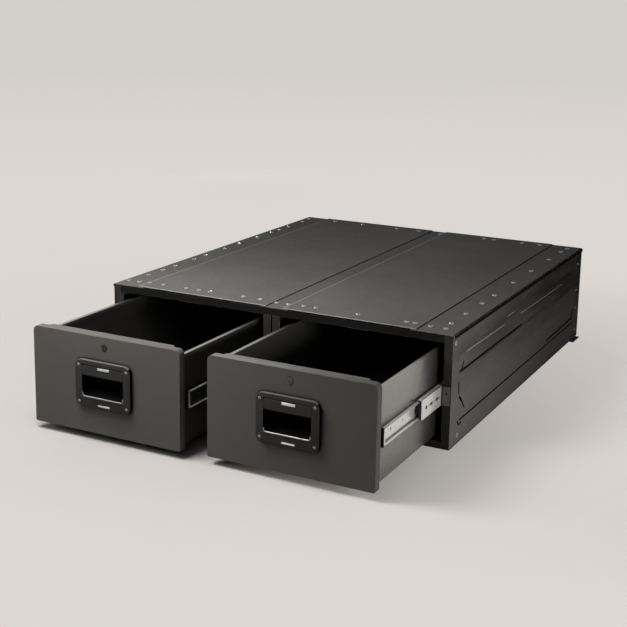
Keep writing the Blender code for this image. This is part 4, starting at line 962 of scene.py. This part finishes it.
class DRAWERS_OT_latches(bpy.types.Operator):
    """Finish the latch frames, paddles, pins, cases, bolts, springs and locks"""
    bl_idname = "drawers.latches"
    bl_label = "Latches"

    lip_facing = -0.35    # a frame's face turned less to the front than this lies in its recess or on its side, painted near black as shade
    lip_depth = 0.005     # and so is all that lies this far behind its front
    top_band = 0.004      # height of the frame's upper edge that takes the lighter cabinet coat as a painted highlight
    turn_steps = 24       # steps of the bolt's coil in one turn

    def execute(self, context):
        latch = settings().latch
        for side, lock_finish in (("left", "latch_coat"), ("right", "drawer_coat")):
            lowest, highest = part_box("latch_frame_" + side)
            latch_frame = softened("latch_frame_" + side, "latch_coat", latch.frame_edge, 3,
                                   30.0)
            # painted shade: near black in the frame's recess and on its sides
            coat_faces(latch_frame, "pocket_coat", lambda face: (
                face.normal.y > self.lip_facing
                or face.center.y > lowest.y + self.lip_depth))
            # painted highlight: the lighter cabinet coat on the frame's upward upper edge
            coat_faces(latch_frame, "cabinet_coat", lambda face: (
                face.normal.z > FACING and face.center.z > highest.z - self.top_band))
            softened("latch_paddle_" + side, "latch_coat", latch.paddle_edge)
            softened("latch_case_" + side, "dark_steel", latch.part_edge)
            softened("latch_bolt_" + side, "bright_zinc", latch.part_edge)
            softened("cam_lock_" + side, lock_finish, latch.part_edge)
            keep_with("latch_pin_" + side, "bright_zinc")
            self.wind_spring(side, latch)
        return {"FINISHED"}

    def wind_spring(self, side, latch):
        """A coil in the place of the plain spring."""
        node = "latch_spring_" + side
        foot, wire = low(node), latch.spring_wire
        axis, tall = middle(node), high(node).z - foot.z
        steps = self.turn_steps * latch.spring_turns
        bm = bmesh.new()
        ring = bmesh.ops.create_circle(bm, cap_ends=False, segments=8, radius=wire)["verts"]
        bmesh.ops.rotate(bm, verts=ring, matrix=Matrix.Rotation(math.pi / 2, 3, "X"))
        bmesh.ops.translate(bm, verts=ring, vec=(high(node).x - wire, axis.y, foot.z + wire))
        bmesh.ops.spin(bm, geom=bm.verts[:] + bm.edges[:], cent=axis, axis=(0, 0, 1),
                       dvec=(0, 0, (tall - 2 * wire) / steps), steps=steps,
                       angle=math.tau * latch.spring_turns, use_duplicate=False)
        bmesh.ops.remove_doubles(bm, verts=bm.verts, dist=WELD)
        bmesh.ops.holes_fill(bm, edges=[edge for edge in bm.edges if edge.is_boundary])
        bmesh.ops.recalc_face_normals(bm, faces=bm.faces)
        coil = add_piece("latch_coil_" + side, bm, "dark_steel", body_of(node))
        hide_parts(node)
        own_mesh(coil)


class DRAWERS_OT_latch_trim(bpy.types.Operator):
    """Add the four screws, the two bare bright plates and the rolled sill of each latch"""
    bl_idname = "drawers.latch_trim"
    bl_label = "Latch screws and plates"

    socket_share, depth_share = 0.42, 0.6    # a screw's socket, in its radius and height

    def execute(self, context):
        latch = settings().latch
        half, thin = latch.plate_width / 2, latch.plate_thickness
        head = button_head(latch.screw_radius, latch.screw_height,
                           latch.screw_radius * self.socket_share,
                           latch.screw_height * self.depth_share)
        for side in SIDES:
            drawer, paddle = "drawer_" + side, "latch_paddle_" + side
            centre = middle("latch_frame_" + side)
            face = high("drawer_front_" + side).y - FRONT_DEPTH - LATCH_PROUD
            places = [Vector((centre.x + across * latch.screw_across, face,
                              centre.z + up * latch.screw_up))
                      for across in (-1, 1) for up in (-1, 1)]
            screw_row("latch_screws_" + side, head, places, (0, -1, 0), drawer)
            x = centre.x + latch.plate_aside
            foot = low("latch_frame_" + side).z + latch.lower_plate_rise
            add_bar("latch_lower_plate_" + side, "bare_plate", drawer,
                    (x - half, face - thin, foot),
                    (x + half, face + SAME, foot + latch.lower_plate_height), latch.part_edge)
            self.roll_sill(side, centre.x, latch)
            top, front = high(paddle).z - latch.upper_plate_drop, low(paddle).y
            add_bar("latch_upper_plate_" + side, "bare_plate", paddle,
                    (x - half, front - thin, top - latch.upper_plate_height),
                    (x + half, front + SAME, top), latch.part_edge)
        return {"FINISHED"}

    def roll_sill(self, side, middle_x, latch):
        """A bright rolled edge along the window's foot, turned up at both ends."""
        corner = low("latch_frame_" + side)
        height = corner.z + latch.window_rise
        depth = corner.y + latch.sill_radius
        turn, half = latch.sill_turn, latch.window_half - latch.sill_radius
        bm = bmesh.new()
        ring = bmesh.ops.create_circle(bm, cap_ends=True, segments=10,
                                       radius=latch.sill_radius)["verts"]
        bmesh.ops.translate(bm, verts=ring,
                            vec=(middle_x - half, depth, height + turn + latch.sill_rise))

        def of_kind(items, kind):
            return [item for item in items if isinstance(item, kind)]

        def draw_out(edges, step):
            made = bmesh.ops.extrude_edge_only(bm, edges=edges)["geom"]
            bmesh.ops.translate(bm, verts=of_kind(made, bmesh.types.BMVert), vec=step)
            return [edge for edge in of_kind(made, bmesh.types.BMEdge) if edge.is_boundary]

        def bend(edges, centre):
            verts = list({vert for edge in edges for vert in edge.verts})
            made = bmesh.ops.spin(bm, geom=verts + edges, axis=(0, 1, 0), cent=centre,
                                  angle=-math.pi / 2, steps=6, use_duplicate=False)
            return of_kind(made["geom_last"], bmesh.types.BMEdge)

        edges = list({edge for vert in ring for edge in vert.link_edges})
        edges = draw_out(edges, (0, 0, -latch.sill_rise))
        edges = bend(edges, (middle_x - half + turn, depth, height + turn))
        edges = draw_out(edges, (2 * (half - turn), 0, 0))
        edges = bend(edges, (middle_x + half - turn, depth, height + turn))
        edges = draw_out(edges, (0, 0, latch.sill_rise))
        bmesh.ops.contextual_create(bm, geom=edges)
        bmesh.ops.remove_doubles(bm, verts=bm.verts, dist=WELD)
        bmesh.ops.recalc_face_normals(bm, faces=bm.faces)
        add_piece("latch_sill_" + side, bm, "sill_steel", "drawer_" + side)


class DRAWERS_OT_slides(bpy.types.Operator):
    """Finish the slide members and their ball cages, and add rivets, clips and buffers"""
    bl_idname = "drawers.slides"
    bl_label = "Slides"

    # shares of a member's length: its holes, its slots, and its rivet heads with their size
    holes = {"intermediate": (0.030, 0.46, 0.92), "drawer": (0.012, 0.052, 0.5, 0.97)}
    slots = {"intermediate": (0.062, 0.098), "drawer": ()}
    heads = {"intermediate": ((0.030, 1.45), (0.046, 0.5), (0.080, 0.6), (0.112, 0.7)),
             "drawer": ((0.022, 0.5), (0.120, 0.6), (0.240, 0.6))}
    rim_reach = 0.0004    # how far outside a hole the corners of its rim may lie
    rivet_sunk, head_sunk = 1.4, 0.5      # how deep both sit, in a rivet's thickness
    rim_share, dish_share = 0.35, 0.3     # a rivet's rim and dish, in its radius and depth
    front_gap = 0.0006    # from a drawer front to the buffer behind it
    buffer_inset, clip_inset = 0.0004, 0.0002    # how far both stay inside their member
    clip_short = 0.0012   # how far a clip stays short of its member's top and foot
    clip_lap, bumper_lap = 0.0002, 0.0040    # how far both run onto their member
    bumper_sides = (0.0008, 0.0052)    # a bumper's sides, from its member's outer side
    buffer_edge, clip_edge, bumper_edge = 0.0010, 0.0008, 0.0020    # radii on the edges

    def execute(self, context):
        slides = settings().slides
        for side in SIDES:
            for place in PLACES:
                where = f"{side}_{place}"
                for member in ("cabinet", "intermediate", "drawer"):
                    node = f"{member}_member_{where}"
                    inner_web = place == "inner" and member == "drawer"
                    # the slides between the drawers take a darker copy of the zinc, as painted
                    # shade
                    bright = place == "outer" or inner_web
                    piece = softened(node, "bright_zinc" if bright else "dull_zinc",
                                     slides.edge)
                    if member == "cabinet":
                        # the ear that is bent over the post is coated like the fronts
                        coat_faces(piece, "drawer_coat", lambda face: (
                            face.center.y < CABINET_FRONT + 2 * SAME))
                    if inner_web:
                        # only the lips and flanges of the member are bright; its web takes the
                        # darker zinc as painted shade
                        outward = outward_of(node, side)
                        lips = (high(node) if outward > 0 else low(node)).x
                        coat_faces(piece, "dull_zinc", lambda face: (
                            abs(face.normal.x) > SQUARE_TO
                            and abs(face.center.x - lips) > slides.lip_depth))
                for cage in ("outer", "inner"):
                    keep_with(f"{cage}_ball_cage_{where}", "buffer_plastic")
                self.plug_holes("intermediate", side, where, slides)
                self.plug_holes("drawer", side, where, slides)
                self.add_buffers(side, where, slides)
        return {"FINISHED"}

    def plug_holes(self, member, side, where, slides):
        """Rivets sunk in the holes and slots of a member, and rivet heads on its web."""
        node = f"{member}_member_{where}"
        lowest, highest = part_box(node)
        outward = outward_of(node, side)
        turned = Matrix(((0, 0, outward), (0, 1, 0), (-outward, 0, 0))).to_4x4()
        bm = bmesh.new()

        def place_at(along):
            return Vector((0, lowest.y + (highest.y - lowest.y) * along, middle(node).z))

        def set_rivet(place, web, sunk, stretch, scale):
            place.x = (web - slides.plug_depth * sunk) * outward
            rivet = self.rivet(slides, stretch)
            rivet.transform(Matrix.Translation(place) @ turned
                            @ Matrix.Diagonal((scale, scale, 1.0, 1.0)))
            bm.from_mesh(rivet)

        spots = [(along, 0.0) for along in self.holes[member]]
        spots += [(along, slides.slot_stretch) for along in self.slots[member]]
        for along, stretch in spots:
            place = place_at(along)
            reach = slides.hole_radius + stretch + self.rim_reach
            rim = [vert.co.x * outward for vert in frame["nodes"][node].data.vertices
                   if (Vector((0, vert.co.y, vert.co.z)) - place).length < reach]
            if not rim:
                raise RuntimeError("no hole found in " + node)
            web = max(rim)
            set_rivet(place, web, self.rivet_sunk, stretch, 1.0)
        for along, scale in self.heads[member]:
            set_rivet(place_at(along), web, self.head_sunk, 0.0, scale)
        bmesh.ops.recalc_face_normals(bm, faces=bm.faces)
        outer = where.endswith("outer")
        add_piece(f"{member}_rivets_{where}", bm, "buffer_plastic" if outer else "bright_zinc",
                  body_of(node))

    def rivet(self, slides, stretch):
        """A flat dished rivet, drawn out along Y to fill a slot."""
        bm = bmesh.new()
        ring = bmesh.ops.create_circle(bm, cap_ends=True, segments=16, radius=slides.hole_radius)
        for vert in ring["verts"]:
            vert.co.y += math.copysign(stretch, vert.co.y)
        face = bmesh.ops.extrude_discrete_faces(bm, faces=list(bm.faces))["faces"][0]
        bmesh.ops.translate(bm, verts=face.verts, vec=(0, 0, slides.plug_depth))
        bmesh.ops.inset_region(bm, faces=[face], thickness=slides.hole_radius * self.rim_share,
                               depth=-slides.plug_depth * self.dish_share)
        return mesh_from("rivet", bm)

    def add_buffers(self, side, where, slides):
        """The drawer member's buffer and front clip, and the intermediate's bumper."""
        node = "drawer_member_" + where
        lowest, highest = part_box(node)
        front = high("drawer_front_" + side).y + self.front_gap
        split = front + slides.buffer_length
        inset, proud = self.buffer_inset, slides.buffer_proud
        add_bar("slide_buffer_" + where, "buffer_plastic", body_of(node),
                (lowest.x + inset, front, lowest.z - proud),
                (highest.x - inset, split, highest.z + proud), self.buffer_edge)
        inset, short = self.clip_inset, self.clip_short
        add_bar("slide_clip_" + where, "bright_zinc", body_of(node),
                (lowest.x + inset, split, lowest.z + short),
                (highest.x - inset, lowest.y + self.clip_lap, highest.z - short),
                self.clip_edge)
        node = "intermediate_member_" + where
        lowest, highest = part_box(node)
        outward, centre, half = outward_of(node, side), middle(node).z, slides.bumper_half
        outer = (highest if outward > 0 else lowest).x
        near, far = sorted(outer - outward * inset for inset in self.bumper_sides)
        add_bar("slide_bumper_" + where, "buffer_plastic", body_of(node),
                (near, lowest.y - slides.bumper_length, centre - half),
                (far, lowest.y + self.bumper_lap, centre + half), self.bumper_edge, 4)


class DRAWERS_OT_stage(bpy.types.Operator):
    """Lay the pale floor and set the soft lights, the world and the camera"""
    bl_idname = "drawers.stage"
    bl_label = "Stage"

    floor_drop = 0.0002    # keeps the floor clear of what stands on it
    camera_place = (1.4482, -3.1740, 1.0926)
    camera_angles = (27.1531, 11.8425, 1.0568)    # round, above and roll, in degrees
    camera_shift = -0.1172

    def execute(self, context):
        stage, scene = settings().stage, context.scene
        scene.view_settings.view_transform = "Standard"
        self.lay_floor(stage)
        self.light(scene, stage)
        self.set_camera(scene, stage)
        return {"FINISHED"}

    def lamps(self, stage):
        """Name, place, aim, side length and power of each soft lamp."""
        rows = (
            ("left", (-1.8, -0.2, 1.7), (-0.3, 0.1, 0.29), 1.2),
            ("front", (-0.55, -2.5, 1.5), (-0.02, -0.8, 0.15), 1.0),
            ("top", (-0.38, -1.20, 1.05), (-0.10, -0.50, 0.29), 0.6),
            ("right", (1.40, -0.90, 0.34), (0.48, -0.45, 0.05), 0.22),
            ("back", (-2.2, 3.0, 0.70), (-0.1, 0.4, 0.15), 0.25),
        )
        return [(name + "_softbox", Vector(spot), Vector(aim), side,
                 getattr(stage, name + "_power")) for name, spot, aim, side in rows]

    def lay_floor(self, stage):
        """A pale disc that shows one soft tone and takes only the shadows of the lamps."""
        bm = bmesh.new()
        bmesh.ops.create_circle(bm, cap_ends=True, segments=96, radius=stage.floor_radius)
        bmesh.ops.translate(bm, verts=bm.verts, vec=(0, 0, -self.floor_drop))
        floor = put_in_scene("studio_floor", mesh_from("studio_floor", bm))
        material, n, shader = start_material("studio_floor_finish", Roughness=1.0,
                                             Specular_IOR_Level=0.0)
        reach = n.add("VectorMath", operation="LENGTH")
        n.feed(reach.inputs[0], n.place())
        distance = n.spread(reach.outputs["Value"], 3.0, 12.0)
        wanted = n.mix(distance, stage.near, stage.far)
        level = stage.fill
        for _, spot, aim, _, power in self.lamps(stage):
            lamp = n.effect(lamp_level, Place=spot, Aim=(aim - spot).normalized(), Power=power)
            level = n.plus(lamp["Level"], level)
        brightest = max(stage.near)
        lightness = n.math("DIVIDE", brightest,
                           n.math("MAXIMUM", level, brightest / stage.albedo))
        lacking = n.math("SUBTRACT", brightest, n.times(lightness, level), clamp=True)
        lacking = n.math("DIVIDE", lacking, brightest)
        n.fill(shader, Base_Color=n.mix(1.0, scaled(stage.near, 1.0 / brightest), lightness,
                                        "MULTIPLY"),
               Emission_Color=n.mix(1.0, wanted, lacking, "MULTIPLY"),
               Emission_Strength=n.seen())
        floor.data.materials.append(material)

    def light(self, scene, stage):
        for name, spot, aim, side, power in self.lamps(stage):
            data = bpy.data.lights.new(name, "AREA")
            data.shape = "SQUARE"
            data.size = side
            data.energy = power
            lamp = put_in_scene(name, data)
            lamp.location = spot
            lamp.rotation_euler = (aim - spot).to_track_quat("-Z", "Y").to_euler()
            lamp.visible_camera = False
        scene.world = bpy.data.worlds.new("studio")
        scene.world.use_nodes = True
        n = Nodes(scene.world.node_tree)
        n.tree.nodes.clear()
        even = n.add("Background", Color=(1.0, 0.985, 0.97), Strength=stage.fill)
        backdrop = n.add("Background", Color=stage.far)
        mixed = n.add("MixShader")
        for slot, value in zip(mixed.inputs, (n.seen(), even.outputs[0], backdrop.outputs[0])):
            n.feed(slot, value)
        n.add("OutputWorld", Surface=mixed.outputs[0])

    def set_camera(self, scene, stage):
        data = bpy.data.cameras.new("studio_camera")
        data.lens = stage.focal_length
        data.sensor_width = 36.0
        data.sensor_fit = "HORIZONTAL"
        data.clip_end = 500.0
        data.shift_y = self.camera_shift
        azimuth, elevation, roll = (math.radians(angle) for angle in self.camera_angles)
        away = Vector((math.sin(azimuth) * math.cos(elevation),
                       -math.cos(azimuth) * math.cos(elevation), math.sin(elevation)))
        across = Vector((0, 0, 1)).cross(away).normalized()
        upward = away.cross(across)
        right = across * math.cos(roll) + upward * math.sin(roll)
        top = upward * math.cos(roll) - across * math.sin(roll)
        turned = Matrix((right, top, away)).transposed().to_4x4()
        camera = put_in_scene("studio_camera", data)
        camera.matrix_world = Matrix.Translation(self.camera_place) @ turned
        scene.camera = camera


class DRAWERS_PT_panel(bpy.types.Panel):
    """Buttons that build the drawer system, piece by piece"""
    bl_idname = "DRAWERS_PT_panel"
    bl_label = "Double drawer system"
    bl_space_type = "VIEW_3D"
    bl_region_type = "UI"
    bl_category = "Drawers"

    def draw(self, context):
        column = self.layout.column(align=True)
        for operator in OPERATORS:
            column.operator(operator.bl_idname)


OPERATORS = (
    DRAWERS_OT_carcass,
    DRAWERS_OT_side_panels,
    DRAWERS_OT_top,
    DRAWERS_OT_top_screws,
    DRAWERS_OT_drawers,
    DRAWERS_OT_latches,
    DRAWERS_OT_latch_trim,
    DRAWERS_OT_slides,
    DRAWERS_OT_stage,
)
CLASSES = (
    CoatSettings,
    SheetSettings,
    ScrewSettings,
    LatchSettings,
    SlideSettings,
    StageSettings,
    DrawerSystemSettings,
    *OPERATORS,
    DRAWERS_PT_panel,
)


def register():
    for cls in CLASSES:
        bpy.utils.register_class(cls)
    bpy.types.Scene.drawer_system = PointerProperty(type=DrawerSystemSettings)


def unregister():
    del bpy.types.Scene.drawer_system
    for cls in reversed(CLASSES):
        bpy.utils.unregister_class(cls)


def main():
    register()
    for operator in OPERATORS:
        group, name = operator.bl_idname.split(".")
        getattr(getattr(bpy.ops, group), name)()


if __name__ == "__main__":
    main()
